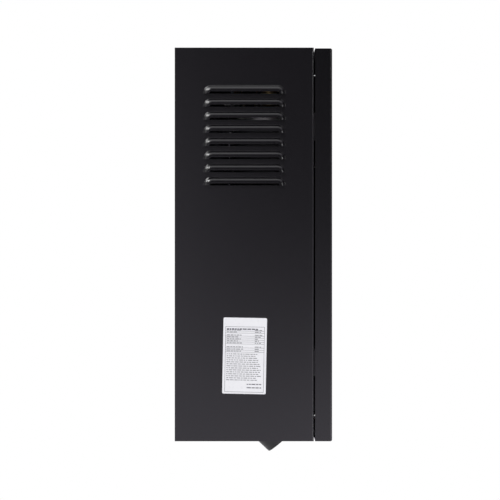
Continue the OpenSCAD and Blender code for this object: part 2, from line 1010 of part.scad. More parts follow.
// One U-shaped element, standing on its bend in the XZ plane
module element() {
    leg_z = element_bottom + element_bend;
    for (x = [element_in_r, element_in_r + 2 * element_bend]) {
        translate([x, 0, leg_z])
            cylinder(h = flange_top + 8 - leg_z, r = element_r);
        translate([x, 0, flange_top + 8])
            cylinder(h = 7, r = 3.2);
        translate([x, 0, flange_top + 15])
            cylinder(h = 9, r = 1.8);
    }
    quarter_bend([element_in_r, 0, element_bottom], [0, 0, -1], [1, 0, 0], element_bend, element_r);
    quarter_bend(
        [element_in_r + 2 * element_bend, 0, element_bottom], [1, 0, 0], [0, 0, 1],
        element_bend, element_r);
}

// Tubular elements with an insulator and a stud on each leg
module heating_elements() {
    color("#6f7276")
        for (i = [0 : element_count - 1]) {
            at_tank(0)
                rotate([0, 0, 90 + i * 360 / element_count])
                    element();
        }
}

module flange_bolts() {
    color("#b4b6ba")
        bolt_circle() {
            translate([0, 0, flange_top])
                hexagon(5.7, 4);
            translate([0, 0, tank_z1 - collar_t - 6])
                cylinder(h = flange_top - tank_z1 + collar_t + 7, r = bolt_r);
            translate([0, 0, tank_z1 - collar_t - 5])
                hexagon(5.7, 5);
        }
}

// Brass bridges on the outer studs of the elements
module element_links() {
    reach = element_in_r + 2 * element_bend;
    color("#c9a24a")
        at_tank(flange_top + 16)
            difference() {
                union() {
                    difference() {
                        cylinder(h = 1.5, r = reach + 4);
                        drill(1.5, reach - 4);
                    }
                    for (i = [0 : element_count - 1]) {
                        rotate([0, 0, 90 + i * 360 / element_count])
                            translate([reach, 0, 1])
                                hexagon(3.8, 3.5);
                    }
                }
                for (i = [0 : element_count - 1]) {
                    rotate([0, 0, 90 + i * 360 / element_count])
                        translate([reach, 0, 0])
                            drill(7, 1.85);
                }
            }
}

// Automatic air vent screwed into the middle of the element flange
module air_vent() {
    body_z = flange_top + vent_neck_h;
    color("#c9a24a")
        at_tank(0)
            difference() {
                union() {
                    translate([0, 0, flange_z])
                        cylinder(h = flange_t + 1, r = 6.5);
                    translate([0, 0, flange_top])
                        hexagon(11, vent_neck_h);
                    translate([0, 0, body_z])
                        cylinder(h = 4, r1 = 10, r2 = vent_r);
                    translate([0, 0, body_z + 4])
                        cylinder(h = 32, r = vent_r);
                    translate([0, 0, body_z + 36])
                        cylinder(h = 5, r1 = vent_r, r2 = 8);
                    translate([0, 0, body_z + 41])
                        cylinder(h = 3, r = 3);
                }
                translate([0, 0, body_z + 38])
                    cylinder(h = 10, r = 1);
            }
}

module air_vent_cap() {
    cap_z = flange_top + vent_neck_h + 41;
    color("#202022")
        at_tank(cap_z + 0.3)
            difference() {
                union() {
                    cylinder(h = 8, r = 5.4);
                    for (i = [0 : 11]) {
                        rotate([0, 0, i * 30])
                            translate([5.2, 0, 0])
                                cylinder(h = 8, r = 0.6);
                    }
                }
                translate([0, 0, -1])
                    cylinder(h = 4.6, r = 3.06);
            }
}

// Pump volute with its two ports in line, hollow for the impeller
module pump_volute() {
    color("#3b4044")
        difference() {
            union() {
                translate([-tank_x, -pipe_y + volute_back, pump_z])
                    rotate([90, 0, 0])
                        round_disc(volute_r, volute_back + volute_front, 10);
                translate([-tank_x - 6, -pipe_y, pump_z])
                    rotate([90, 0, 0])
                        rotate_extrude() {
                            translate([0, -scroll_r])
                                square([volute_r - scroll_r, 2 * scroll_r]);
                            translate([volute_r - scroll_r, 0])
                                circle(scroll_r);
                        }
                at_riser(pump_z - pump_half)
                    cylinder(h = 2 * pump_half, r = 16);
                for (z = [pump_z - pump_half, pump_z + pump_half - 12]) {
                    at_riser(z)
                        cylinder(h = 12, r = port_r);
                }
            }
            front_rod(-tank_x, -pipe_y + volute_back - 4, pump_z, 35, volute_back + volute_front);
            at_riser(pump_z - pump_half - clip)
                cylinder(h = pump_half, r = 11);
            at_riser(pump_z + clip)
                cylinder(h = pump_half, r = 11);
        }
}

// Motor housing with cooling ribs, hollow for the wet rotor
module pump_motor() {
    can_r = 24;
    rib_count = 24;
    plug_r = 10;
    plug_h = 3;
    color("#9a9da2")
        difference() {
            union() {
                front_rod(-tank_x, motor_y, pump_z, motor_r, 6);
                front_rod(-tank_x, motor_y - 5, pump_z, motor_r - 4, motor_l - 8);
                for (i = [0 : rib_count - 1]) {
                    translate([-tank_x, motor_y - 5, pump_z])
                        rotate([90, i * 360 / rib_count, 0])
                            translate([motor_r - 6, -1, 0])
                                cube([5, 2, motor_l - 14]);
                }
                front_rod(-tank_x, motor_y - motor_l + 4, pump_z, motor_r - 10, 4);
                front_rod(-tank_x, motor_y - motor_l + clip, pump_z, plug_r, plug_h + clip);
            }
            translate([-tank_x, motor_y - motor_l - plug_h, pump_z])
                cube([2.4 * plug_r, 3, 2.4], center = true);
            front_rod(-tank_x, motor_y + 1, pump_z, shaft_r + pin_fit, motor_l - 6);
            front_rod(-tank_x, motor_y - 5, pump_z, can_r, motor_l - 22);
        }
}

module pump_rotor() {
    vane_count = 6;
    color("#c0c2c6") {
        front_rod(-tank_x, -pipe_y - 4, pump_z, shaft_r, motor_l + 6);
        front_rod(-tank_x, motor_y - 8, pump_z, 22, motor_l - 28);
        front_rod(-tank_x, -pipe_y - 6, pump_z, 30, 2.5);
        intersection() {
            front_rod(-tank_x, -pipe_y + 8, pump_z, 30, 15);
            for (i = [0 : vane_count - 1]) {
                translate([-tank_x, -pipe_y + 4, pump_z])
                    rotate([90, i * 360 / vane_count, 0])
                        translate([19, 0, 0])
                            difference() {
                                cylinder(h = 11, r = 19);
                                translate([0, 0, -1])
                                    cylinder(h = 13, r = 17);
                                translate([-30, -40, -1])
                                    cube([60, 40, 13]);
                            }
            }
        }
        front_rod(-tank_x, -pipe_y + 4, pump_z, 7, 12);
    }
}

// Terminal box on top of the pump motor
module pump_terminal_box() {
    color("#26272a")
        difference() {
            translate([-tank_x, box_y, box_z + box_h / 2 - 1])
                rotate([90, 0, 0])
                    linear_extrude(box_d)
                        rounded_plate(58, box_h - 2, 4);
            front_rod(-tank_x, motor_y, pump_z, motor_r + 0.3, motor_l);
            front_rod(-tank_x, box_y - box_d + 4, box_z + box_h / 2, 3.06, 10);
        }
    color("#26272a")
        translate([-tank_x - 14, box_y - box_d + 4, pump_z + motor_r - 0.8])
            cube([28, box_d - 8, box_z - pump_z - motor_r + 1.3]);
}

module pump_speed_knob() {
    y = box_y - box_d - 0.3;
    color("#b02a25")
        difference() {
            union() {
                front_rod(-tank_x, y, box_z + box_h / 2, knob_r, 6);
                front_rod(-tank_x, y + 3, box_z + box_h / 2, 3, 4);
            }
            for (side = [-1, 1]) {
                translate([-tank_x + side * 7.5, y - 4.5, box_z + box_h / 2])
                    cube([10, 4, 30], center = true);
            }
        }
}

// A pipe's end through the bottom panel: thread below its lock nut, plain through the nuts
module threaded_end(r, height) {
    collar_z = floor_z - lock_nut_h;
    translate([0, 0, pipe_end_z])
        cylinder(h = collar_z - pipe_end_z, r = r);
    translate([0, 0, collar_z])
        cylinder(h = height - collar_z, r = r - thread_step);
}

// Return pipe from the threaded end up to the pump's lower port
module return_pipe() {
    top = pump_z - pump_half - gasket_t;
    color("#b87448")
        at_riser(0)
            difference() {
                union() {
                    threaded_end(thread_r, floor_z + 22);
                    cylinder(h = top, r = pipe_r);
                    translate([0, 0, top - 4])
                        cylinder(h = 4, r = port_r - 1);
                }
                translate([0, 0, pipe_end_z - 1])
                    cylinder(h = top - pipe_end_z + 2, r = pipe_r - pipe_wall);
            }
}

// Supply pipe from the tank's outlet down to its threaded end
module supply_pipe() {
    outlet_z = tank_z1 - 40;
    start_x = -tank_x + tank_r + 2;
    bend = 18;
    route = [
        [start_x, -pipe_y, outlet_z], [supply_x, -pipe_y, outlet_z], [supply_x, -pipe_y, floor_z]
    ];
    color("#b87448")
        difference() {
            union() {
                bent_tube(route, bend, pipe_r);
                translate([supply_x, -pipe_y, 0])
                    threaded_end(thread_r, floor_z + 22);
            }
            bent_tube(route, bend, pipe_r - pipe_wall);
            translate([supply_x, -pipe_y, pipe_end_z - 1])
                cylinder(h = floor_z + nipple_drop + 2, r = pipe_r - pipe_wall);
        }
}

// Union nuts at the pump's ports and lock nuts on both sides of the bottom panel
module pipe_nuts() {
    color("#c9a24a") {
        for (low = [0, 1]) {
            port_z = pump_z + (low ? -pump_half : pump_half);
            at_riser(port_z + (low ? -7.3 : -12.7))
                difference() {
                    hexagon(nut_r, nut_h);
                    translate([0, 0, low ? 1.2 : -1])
                        cylinder(h = nut_h, r = port_r + 0.2);
                    drill(nut_h, 16.3);
                }
        }
        for (x = [-tank_x, supply_x]) {
            lock_nuts(x, -pipe_y, thread_r, lock_nut_r);
        }
        lock_nuts(supply_x, -outlet_y, outlet_r, 16);
    }
}

module lock_nuts(x, y, inner, outer) {
    for (z = [floor_z - lock_nut_h, floor_top]) {
        translate([x, y, z])
            difference() {
                hexagon(outer, lock_nut_h);
                drill(lock_nut_h, inner - thread_step + 0.05);
            }
    }
}

// Brass block round the supply pipe that joins the relief valve, the vessel and the gauge
module safety_manifold() {
    color("#c9a24a")
        difference() {
            union() {
                translate([supply_x, -pipe_y, manifold_z - manifold_h / 2])
                    linear_extrude(manifold_h)
                        rounded_plate(manifold_w, manifold_d, 3);
                for (end = [-manifold_h / 2 - 10, manifold_h / 2]) {
                    translate([supply_x, -pipe_y, manifold_z + end])
                        hexagon(16, 10);
                }
            }
            translate([supply_x, -pipe_y, manifold_z - manifold_h])
                cylinder(h = 2 * manifold_h, r = pipe_r + 0.1);
        }
}

module relief_valve() {
    start_y = -pipe_y - manifold_d / 2;
    color("#c9a24a")
        difference() {
            union() {
                translate([supply_x, start_y, manifold_z])
                    rotate([90, 0, 0])
                        hexagon(13, 8);
                front_rod(supply_x, start_y - 7, manifold_z, valve_r, valve_l - 9);
                front_rod(supply_x, start_y - valve_l + 3, manifold_z, 4, 3 + 6);
                translate([supply_x, -outlet_y, manifold_z - valve_r - 6])
                    cylinder(h = 12, r = 9);
            }
            translate([supply_x, -outlet_y, manifold_z - valve_r - 7])
                cylinder(h = 12, r = 6.1);
        }
}

module relief_knob() {
    color("#b02a25")
        difference() {
            union() {
                front_rod(supply_x, relief_knob_y - 0.3, manifold_z, 14, 16);
                for (i = [0 : 9]) {
                    translate([supply_x, relief_knob_y - 0.3, manifold_z])
                        rotate([90, i * 36, 0])
                            translate([13.6, 0, 0])
                                cylinder(h = 16, r = 1.8);
                }
            }
            front_rod(supply_x, relief_knob_y + 1, manifold_z, 4.06, 8);
        }
}

module relief_outlet() {
    top = manifold_z - valve_r - 1;
    color("#b87448")
        translate([supply_x, -outlet_y, 0])
            difference() {
                union() {
                    cylinder(h = top, r = 6);
                    threaded_end(outlet_r, floor_z + 18);
                }
                translate([0, 0, pipe_end_z - 1])
                    cylinder(h = top - pipe_end_z + 2, r = 5);
            }
}

module temperature_sensor() {
    color("#c9a24a")
        translate([supply_x + manifold_w / 2, -pipe_y, manifold_z])
            rotate([0, 90, 0]) {
                hexagon(8, 7);
                translate([0, 0, 6])
                    cylinder(h = 10, r = 5);
                translate([0, 0, 15])
                    cylinder(h = 6, r = 3);
            }
}

// Places a child on the gauge's face, with Z pointing out of the dial
module on_gauge() {
    translate([gauge_x, -gauge_y, -gauge_drop])
        rotate([180 - gauge_tilt, 0, 0])
            children();
}

// Moulded housing that holds the gauge below the bottom panel
module gauge_pod() {
    pod_l = 46;
    flange_w = 2 * gauge_r + 22;
    flange_l = 2 * gauge_r + 34;
    color("#2a2a2d")
        difference() {
            union() {
                intersection() {
                    on_gauge()
                        translate([0, 0, -pod_l])
                            cylinder(h = pod_l, r1 = gauge_r + pod_l * tan(gauge_taper), r2 = gauge_r);
                    translate([gauge_x - 60, -gauge_y - 60, floor_z - 60])
                        cube([120, 120, 60]);
                }
                translate([gauge_x, gauge_back_y, floor_z - 2])
                    linear_extrude(2)
                        rounded_plate(flange_w, flange_l, 5);
            }
            on_gauge()
                translate([0, 0, -gauge_cup_d])
                    cylinder(h = gauge_cup_d + 5, r = gauge_cup_r);
            on_gauge()
                translate([0, 0, -gauge_cup_d - 5])
                    cylinder(h = 8, r = 0.8 + pin_fit);
        }
}

module gauge_bezel() {
    color("#202022")
        on_gauge()
            difference() {
                cylinder(h = 1.2, r1 = gauge_r - 0.3, r2 = gauge_r - 0.8);
                drill(2, gauge_r - 3);
            }
}

module gauge_lens() {
    color("#dfe8ee", 0.35)
        on_gauge()
            translate([0, 0, -1.5])
                cylinder(h = 1.5, r = gauge_cup_r - 0.2);
}

module gauge_dial() {
    color("#f2f2ee")
        on_gauge()
            translate([0, 0, -gauge_cup_d])
                difference() {
                    cylinder(h = 1, r = gauge_cup_r - 0.2);
                    drill(1, 1.2);
                }
}

// The pointer rests on its zero stop, low on the left of the dial
module gauge_pointer() {
    zero = 90 + gauge_sweep / 2;
    color("#18181a")
        on_gauge()
            rotate([0, 0, zero]) {
                translate([0, 0, -gauge_cup_d - 4])
                    cylinder(h = 7, r = 0.8);
                translate([0, 0, -gauge_cup_d + 1.5])
                    cylinder(h = 1.6, r = 2.6);
                translate([0, 0, -gauge_cup_d + 1.9])
                    linear_extrude(0.6)
                        polygon([[-6, -1.1], [-6, 1.1], [gauge_cup_r - 4, 0.3], [gauge_cup_r - 4, -0.3]]);
            }
}

module gauge_capillary() {
    behind_y = -90;
    color("#b87448")
        bent_tube([
            [supply_x + 11, -pipe_y + manifold_d / 2, manifold_z - 10],
            [supply_x + 11, behind_y, manifold_z - 10],
            [gauge_x, behind_y, manifold_z - 10],
            [gauge_x, behind_y, 50],
            [gauge_x, gauge_back_y, 50],
            [gauge_x, gauge_back_y, floor_z]
        ], 6, 1);
}

// Control board on four posts, with the parts that stand on it
module control_board() {
    board_w = plate_x1 - plate_x0 - 22;
    board_h = 160;
    x0 = plate_x0 + 8;
    z0 = plate_top - 20 - board_h;
    post_l = 10;
    face = plate_y - post_l - board_t;
    color("#1f5a38") {
        translate([x0, face, z0])
            cube([board_w, board_t, board_h]);
        for (x = [x0 + 6, x0 + board_w - 6], z = [z0 + 6, z0 + board_h - 6]) {
            front_rod(x, plate_y, z, 3, post_l);
        }
        for (i = [0 : 2]) {
            translate([x0 + 14 + i * 26, face - 16, z0 + 12])
                cube([19, 16, 28]);
        }
        translate([x0 + board_w - 52, face - 26, z0 + board_h - 54])
            cube([40, 26, 42]);
        for (i = [0 : 2]) {
            front_rod(x0 + 20 + i * 18, face, z0 + board_h - 24, 6.5, 22);
        }
        translate([x0 + 18, face - 3, z0 + 66])
            cube([22, 3, 22]);
        for (i = [0 : 3]) {
            translate([x0 + board_w - 12, face - 9, z0 + 14 + i * 20])
                cube([8, 9, 16]);
        }
    }
}

// A contactor clipped on the rail: its section steps forward, with sunk screws on both shelves
module contactor(x) {
    rear = plate_y - rail_d;
    shelf = rear - contactor_d * 0.55;
    shelf_z = contactor_h / 2;
    block_z = contactor_h / 4;
    difference() {
        translate([x - contactor_w / 2, 0, high_rail_z])
            rotate([90, 0, 90])
                linear_extrude(contactor_w)
                    polygon([
                        [rear, -shelf_z], [rear, shelf_z], [shelf + 3, shelf_z], [shelf, shelf_z - 3],
                        [shelf, block_z + 2], [shelf - 2, block_z], [contactor_face + 2, block_z],
                        [contactor_face, block_z - 2], [contactor_face, 2 - block_z],
                        [contactor_face + 2, -block_z], [shelf - 2, -block_z], [shelf, -block_z - 2],
                        [shelf, 3 - shelf_z], [shelf + 3, -shelf_z]
                    ]);
        contactor_screws(x, shelf - clip, 4.2, 4);
    }
    contactor_screws(x, shelf + 1, 3, 2.5);
    translate([x - 7, contactor_face - 2, high_rail_z - 8])
        cube([14, 4, 16]);
}

// The six terminal screws of a contactor, or their wells, back from y
module contactor_screws(x, y, r, depth) {
    for (i = [-1 : 1], end = [-1, 1]) {
        front_rod(x + i * 13, y + depth, high_rail_z + end * (contactor_h / 2 - 9), r, depth);
    }
}

module contactors() {
    color("#e6e4dc")
        for (x = contactor_x) {
            contactor(x);
        }
}

// Thermal cut-out with its manual reset
module thermal_cutout() {
    face = plate_y - cutout_d;
    color("#26272a")
        difference() {
            union() {
                translate([cutout_x, plate_y, cutout_z])
                    rotate([90, 0, 0])
                        linear_extrude(cutout_d)
                            rounded_plate(34, 34, 3);
                front_rod(cutout_x, face, cutout_z, 6.5, 6);
            }
            front_rod(cutout_x, face + 8, cutout_z, 3.2, 20);
        }
}

module cutout_reset() {
    face = plate_y - cutout_d;
    color("#b02a25")
        front_rod(cutout_x, face + 5.5, cutout_z, 3.1, 13);
}

module terminal_block() {
    rear = plate_y - rail_d;
    color("#d9d6cc")
        for (i = [0 : terminal_count - 1]) {
            translate([terminal_x0 + i * (terminal_w + 0.2), 0, low_rail_z])
                difference() {
                    rotate([90, 0, 90])
                        linear_extrude(terminal_w)
                            polygon([
                                [rear, -22], [rear, 22], [rear - 20, 22], [rear - 34, 14],
                                [rear - 38, 14], [rear - 38, -14], [rear - 34, -14], [rear - 20, -22]
                            ]);
                    for (end = [-1, 1]) {
                        front_rod(terminal_w / 2, rear - 20, end * 10, 3, 20);
                    }
                }
        }
}

module earth_bar() {
    x0 = plate_x0 + 10;
    color("#c9a24a") {
        for (x = [x0 + 4, x0 + 40]) {
            front_rod(x, plate_y - 1, low_rail_z, 3.5, rail_d + 10);
        }
        translate([x0, plate_y - rail_d - 18, low_rail_z - 5])
            cube([44, 8, 10]);
        for (i = [0 : 4]) {
            front_rod(x0 + 6 + i * 8, plate_y - rail_d - 17.5, low_rail_z, 3, 3.5);
        }
    }
}

// Cable glands through the bottom panel, each with its lock nut above
module cable_glands() {
    color("#1d1d1f")
        for (i = [0, 1]) {
            r = gland_r[i];
            translate([gland_x[i], -pipe_y, 0])
                difference() {
                    union() {
                        translate([0, 0, 2])
                            cylinder(h = 4, r1 = r - 1, r2 = r + 2);
                        translate([0, 0, 6])
                            cylinder(h = floor_z - 10, r = r + 2);
                        translate([0, 0, floor_z - 5])
                            hexagon(r + 5, 5);
                        translate([0, 0, floor_z])
                            cylinder(h = 12, r = r);
                        translate([0, 0, floor_top])
                            hexagon(r + 5, 5);
                    }
                    cylinder(h = 60, r = r - 4);
                }
        }
}

// Main wires from the terminals up to a contactor, and from it to the inner stud of each element
module wiring() {
    wire_r = 1.6;
    bend = 5;
    rear = plate_y - rail_d;
    low_z = low_rail_z + 22;
    top_y = rear - 34;
    stud_z = flange_top + 24;
    color("#5a3a24")
        for (i = [0 : 2]) {
            x = contactor_x[0] + (i - 1) * 13;
            from_x = terminal_x0 + i * (terminal_w + 0.2) + terminal_w / 2;
            y = rear - 10 - i * 5;
            z = low_z + 53 + i * 12;
            bent_tube([
                [from_x, y, low_z], [from_x, y, z], [x, y, z], [x, y, high_rail_z - contactor_h / 2]
            ], bend, wire_r);
            turn = [330, 90, 210][i];
            stud_x = -tank_x + element_in_r * cos(turn);
            stud_y = tank_y + element_in_r * sin(turn);
            run_x = plate_x0 - 16 + i * 5;
            run_z = high_rail_z + contactor_h / 2 + 12 + i * 6;
            over_z = stud_z + 14 + i * 6;
            run_y = i == 1 ? stud_y : top_y;
            start = [x, run_y, high_rail_z + contactor_h / 2];
            lead = [start, [x, run_y, run_z], [run_x, run_y, run_z], [run_x, run_y, over_z]];
            side = i == 1 ? [] : i == 0 ? [[run_x, stud_y, over_z]] : [[stud_x, run_y, over_z]];
            bent_tube(concat(lead, side, [[stud_x, stud_y, over_z], [stud_x, stud_y, stud_z]]), bend, wire_r);
        }
}

// A closed block with the door's outline, smaller by an inset
module door_block(inset) {
    size_w = cabinet_w - 2 * inset;
    size_h = door_top - 2 * inset;
    r = door_fold_r - inset;
    intersection() {
        translate([0, door_front + inset, 0])
            linear_extrude(cabinet_h)
                rounded_front(size_w, door_d + (inset > 0 ? 5 : 0), r);
        translate([-half_w, door_front + inset, door_top / 2])
            rotate([90, 0, 90])
                linear_extrude(cabinet_w)
                    rotate([0, 0, -90])
                        rounded_front(size_h, door_d + (inset > 0 ? 5 : 0), r);
    }
}

module front_door() {
    notch_z0 = [ear_low_z - 0.6, ear_high_z - 0.6];
    color("#2c2b2f")
        difference() {
            union() {
                difference() {
                    door_block(0);
                    door_block(sheet_t);
                }
                for (z = [sheet_t, door_top - sheet_t - door_plate_t]) {
                    translate([inner_x - 16, door_inner, z])
                        cube([16, door_d - sheet_t - 4, door_plate_t]);
                }
            }
            stand_up(door_front - 1, sheet_t + 2)
                translate([0, fascia_z])
                    rounded_plate(fascia_w, fascia_h, fascia_r);
            for (z = notch_z0) {
                translate([inner_x - 1, hinge_y - 7.5, z])
                    cube([5, hinge_ahead + 8.5, ear_t + 1.2]);
            }
            translate([hinge_x, hinge_y, -1])
                cylinder(h = 3 * door_plate_t, r = hinge_pin_r + pin_fit);
            translate([hinge_x, hinge_y, door_top - 2 * door_plate_t])
                cylinder(h = 3 * door_plate_t, r = hinge_pin_r + pin_fit);
        }
}

// Fascia that fills the door's opening from behind
module control_fascia() {
    face_t = fascia_back - fascia_face;
    color("#101012")
        difference() {
            union() {
                stand_up(fascia_face, face_t)
                    translate([0, fascia_z])
                        rounded_plate(fascia_w - 0.6, fascia_h - 0.6, fascia_r - 0.3);
                stand_up(door_inner, fascia_lip_t)
                    translate([0, fascia_z])
                        rounded_plate(fascia_w + 2 * fascia_lip, fascia_h + 2 * fascia_lip, fascia_r + 2);
                for (x = [-1, 1], z = [-1, 1]) {
                    translate([x * (fascia_w / 2 - 4), board_y, fascia_z + z * (fascia_h / 2 - 4)])
                        rotate([90, 0, 0])
                            cylinder(h = board_y - fascia_back + 0.5, r = 3);
                }
            }
            stand_up(fascia_face - 1, window_t + 1)
                translate([window_x, fascia_z])
                    rounded_plate(window_w, window_h, 3);
            stand_up(fascia_face - 1, face_t + 2)
                translate([window_x, fascia_z])
                    rounded_plate(window_w - 2 * window_ledge, window_h - 2 * window_ledge, 2);
            for (i = button_row) {
                front_rod(
                    button_x, fascia_back + clip, fascia_z + i * button_pitch, button_r + button_gap,
                    face_t + 2 * clip);
            }
        }
}

module display_window() {
    color("#30343a", 0.5)
        stand_up(fascia_face + 0.1, window_t - 0.1)
            translate([window_x, fascia_z])
                rounded_plate(window_w - 0.4, window_h - 0.4, 2.8);
}

// Board behind the fascia with the display module and a switch behind each button
module display_board() {
    switch_l = 4;
    color("#1f5a38") {
        stand_up(board_y, board_t)
            translate([0, fascia_z])
                rounded_plate(fascia_w, fascia_h, 2);
        translate([window_x - 33, fascia_back + 0.4, fascia_z - 13])
            cube([66, board_y - fascia_back - 0.2, 26]);
        for (i = button_row) {
            translate([button_x - 3, board_y - switch_l, fascia_z + i * button_pitch - 3])
                cube([6, switch_l + 0.2, 6]);
        }
    }
}

// A push button: its cap, and the flange that keeps it behind the fascia
module push_button(i) {
    stem_end = board_y - 4 - button_travel - 0.2;
    z = fascia_z + i * button_pitch;
    front_rod(button_x, stem_end, z, 3, stem_end - fascia_back);
    front_rod(button_x, fascia_back + 0.3 + button_flange, z, button_r + 1.4, button_flange);
    front_rod(button_x, fascia_back + 0.5, z, button_r, fascia_back + 0.5 - fascia_face);
}

module button_less() {
    color("#d8d8da")
        push_button(-1);
}

module button_more() {
    color("#d8d8da")
        push_button(0);
}

module button_power() {
    color("#b02a25")
        push_button(1);
}

wall_bracket();
back_panel();
left_side_panel();
right_side_panel();
top_panel();
bottom_panel();
casing_screws();
hinge_ears();
hinge_pins();
magnetic_catches();
rating_label();
cross_bars();
electronics_plate();
expansion_vessel();
vessel_pipe();
tank();
tank_jacket();
tank_straps();
flange_gasket();
element_flange();
heating_elements();
flange_bolts();
element_links();
air_vent();
air_vent_cap();
pump_volute();
pump_motor();
pump_terminal_box();
pump_rotor();
pump_speed_knob();
return_pipe();
supply_pipe();
pipe_nuts();
safety_manifold();
relief_valve();
relief_knob();
relief_outlet();
temperature_sensor();
gauge_pod();
gauge_bezel();
gauge_lens();
gauge_dial();
gauge_pointer();
gauge_capillary();
control_board();
contactors();
thermal_cutout();
cutout_reset();
terminal_block();
earth_bar();
cable_glands();
wiring();
front_door();
catch_plates();
control_fascia();
display_window();
display_board();
button_less();
button_more();
button_power();
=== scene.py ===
# %% [markdown]
# # A wall-hung electric boiler, dressed in Blender
# The boiler is a tall black cabinet of folded sheet steel with pressed louvres in its sides and a
# hinged door in front. Its solids come from a finished construction model. This lesson gives each
# of them the surface that the real one has, and adds the small things that a construction model
# leaves out: print, threads, screw recesses, the marks of a dial and the parts on circuit boards.

# %% Load the construction model
import json
import math
import random

import bmesh
import bpy
from mathutils import Matrix, Vector


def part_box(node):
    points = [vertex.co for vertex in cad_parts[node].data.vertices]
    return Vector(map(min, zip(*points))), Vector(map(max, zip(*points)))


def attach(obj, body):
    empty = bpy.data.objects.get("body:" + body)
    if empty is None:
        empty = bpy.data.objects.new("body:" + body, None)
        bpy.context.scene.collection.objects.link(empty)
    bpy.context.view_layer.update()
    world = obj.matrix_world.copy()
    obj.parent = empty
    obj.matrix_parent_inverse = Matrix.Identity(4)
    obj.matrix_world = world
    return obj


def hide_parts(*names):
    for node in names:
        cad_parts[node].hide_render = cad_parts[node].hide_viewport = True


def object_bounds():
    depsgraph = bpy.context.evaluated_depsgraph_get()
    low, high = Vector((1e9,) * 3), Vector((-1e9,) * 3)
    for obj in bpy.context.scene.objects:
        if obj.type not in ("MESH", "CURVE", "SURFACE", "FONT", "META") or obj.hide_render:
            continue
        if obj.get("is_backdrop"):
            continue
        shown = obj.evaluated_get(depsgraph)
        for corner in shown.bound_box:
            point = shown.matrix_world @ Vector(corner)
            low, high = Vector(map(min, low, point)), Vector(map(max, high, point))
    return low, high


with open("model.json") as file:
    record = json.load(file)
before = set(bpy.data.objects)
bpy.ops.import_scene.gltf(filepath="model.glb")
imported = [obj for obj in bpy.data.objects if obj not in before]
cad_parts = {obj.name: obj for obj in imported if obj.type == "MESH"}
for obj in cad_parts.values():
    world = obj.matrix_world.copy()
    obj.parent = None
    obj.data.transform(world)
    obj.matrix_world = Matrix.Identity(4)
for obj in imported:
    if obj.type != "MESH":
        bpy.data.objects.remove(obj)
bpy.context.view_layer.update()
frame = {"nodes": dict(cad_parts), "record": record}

MM = 0.001

# %% [markdown]
# ## The camera
# The picture is a straight view of the left side, taken from far away with a long lens, so that
# the cabinet's edges stay parallel. The camera could be set by eye. Here its distance, its height
# and the width of its view are measured values: the picture is 500 pixels wide, and one pixel
# covers 1.524 mm on the side panel, behind the faces of its louvres.

# %% Place the camera
PICTURE = 500
PIXEL_MM = 1.524
LOUVRE_MM = 5.6
EYE = Vector((-3.185, -0.1147, 0.2915))
SENSOR_MM = 36
NEAREST, FARTHEST = 0.05, 60

panel_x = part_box("left_side_panel")[0].x + LOUVRE_MM * MM
view_width = PICTURE * PIXEL_MM * MM
camera_data = bpy.data.cameras.new("side_camera")
camera_data.sensor_width = SENSOR_MM
camera_data.lens = SENSOR_MM * (panel_x - EYE.x) / view_width
camera_data.clip_start, camera_data.clip_end = NEAREST, FARTHEST
camera = bpy.data.objects.new("side_camera", camera_data)
bpy.context.scene.collection.objects.link(camera)
camera.location = EYE
camera.rotation_euler = Vector((1, 0, 0)).to_track_quat("-Z", "Y").to_euler()
bpy.context.scene.camera = camera
print("lens:", round(camera_data.lens, 1), "mm")

# %% [markdown]
# ## A helper for surfaces
# Every surface here is a small node graph that feeds one Principled shader. The same steps come
# back in all of them: a grain, a colour between two tints, a roughness between two limits, and a
# relief. They could be written out each time. A small class keeps each surface down to the lines
# that make it different. All its sizes are in millimetres.

# %% Add a node to a graph
def add_node(tree, kind, inputs=(), **settings):
    """Adds a node with its settings and its inputs, as values or as links. Gives its outputs."""
    node = tree.nodes.new("ShaderNode" + kind)
    for key, value in settings.items():
        setattr(node, key, value)
    for key, value in dict(inputs).items():
        if isinstance(value, bpy.types.NodeSocket):
            tree.links.new(value, node.inputs[key])
        else:
            node.inputs[key].default_value = value
    return node.outputs


FINISHES = {}
print("node helper ready")

# %% A class for finishes
NOISE_SPREAD = (0.3, 0.7)       # nearly all of a noise lies between these


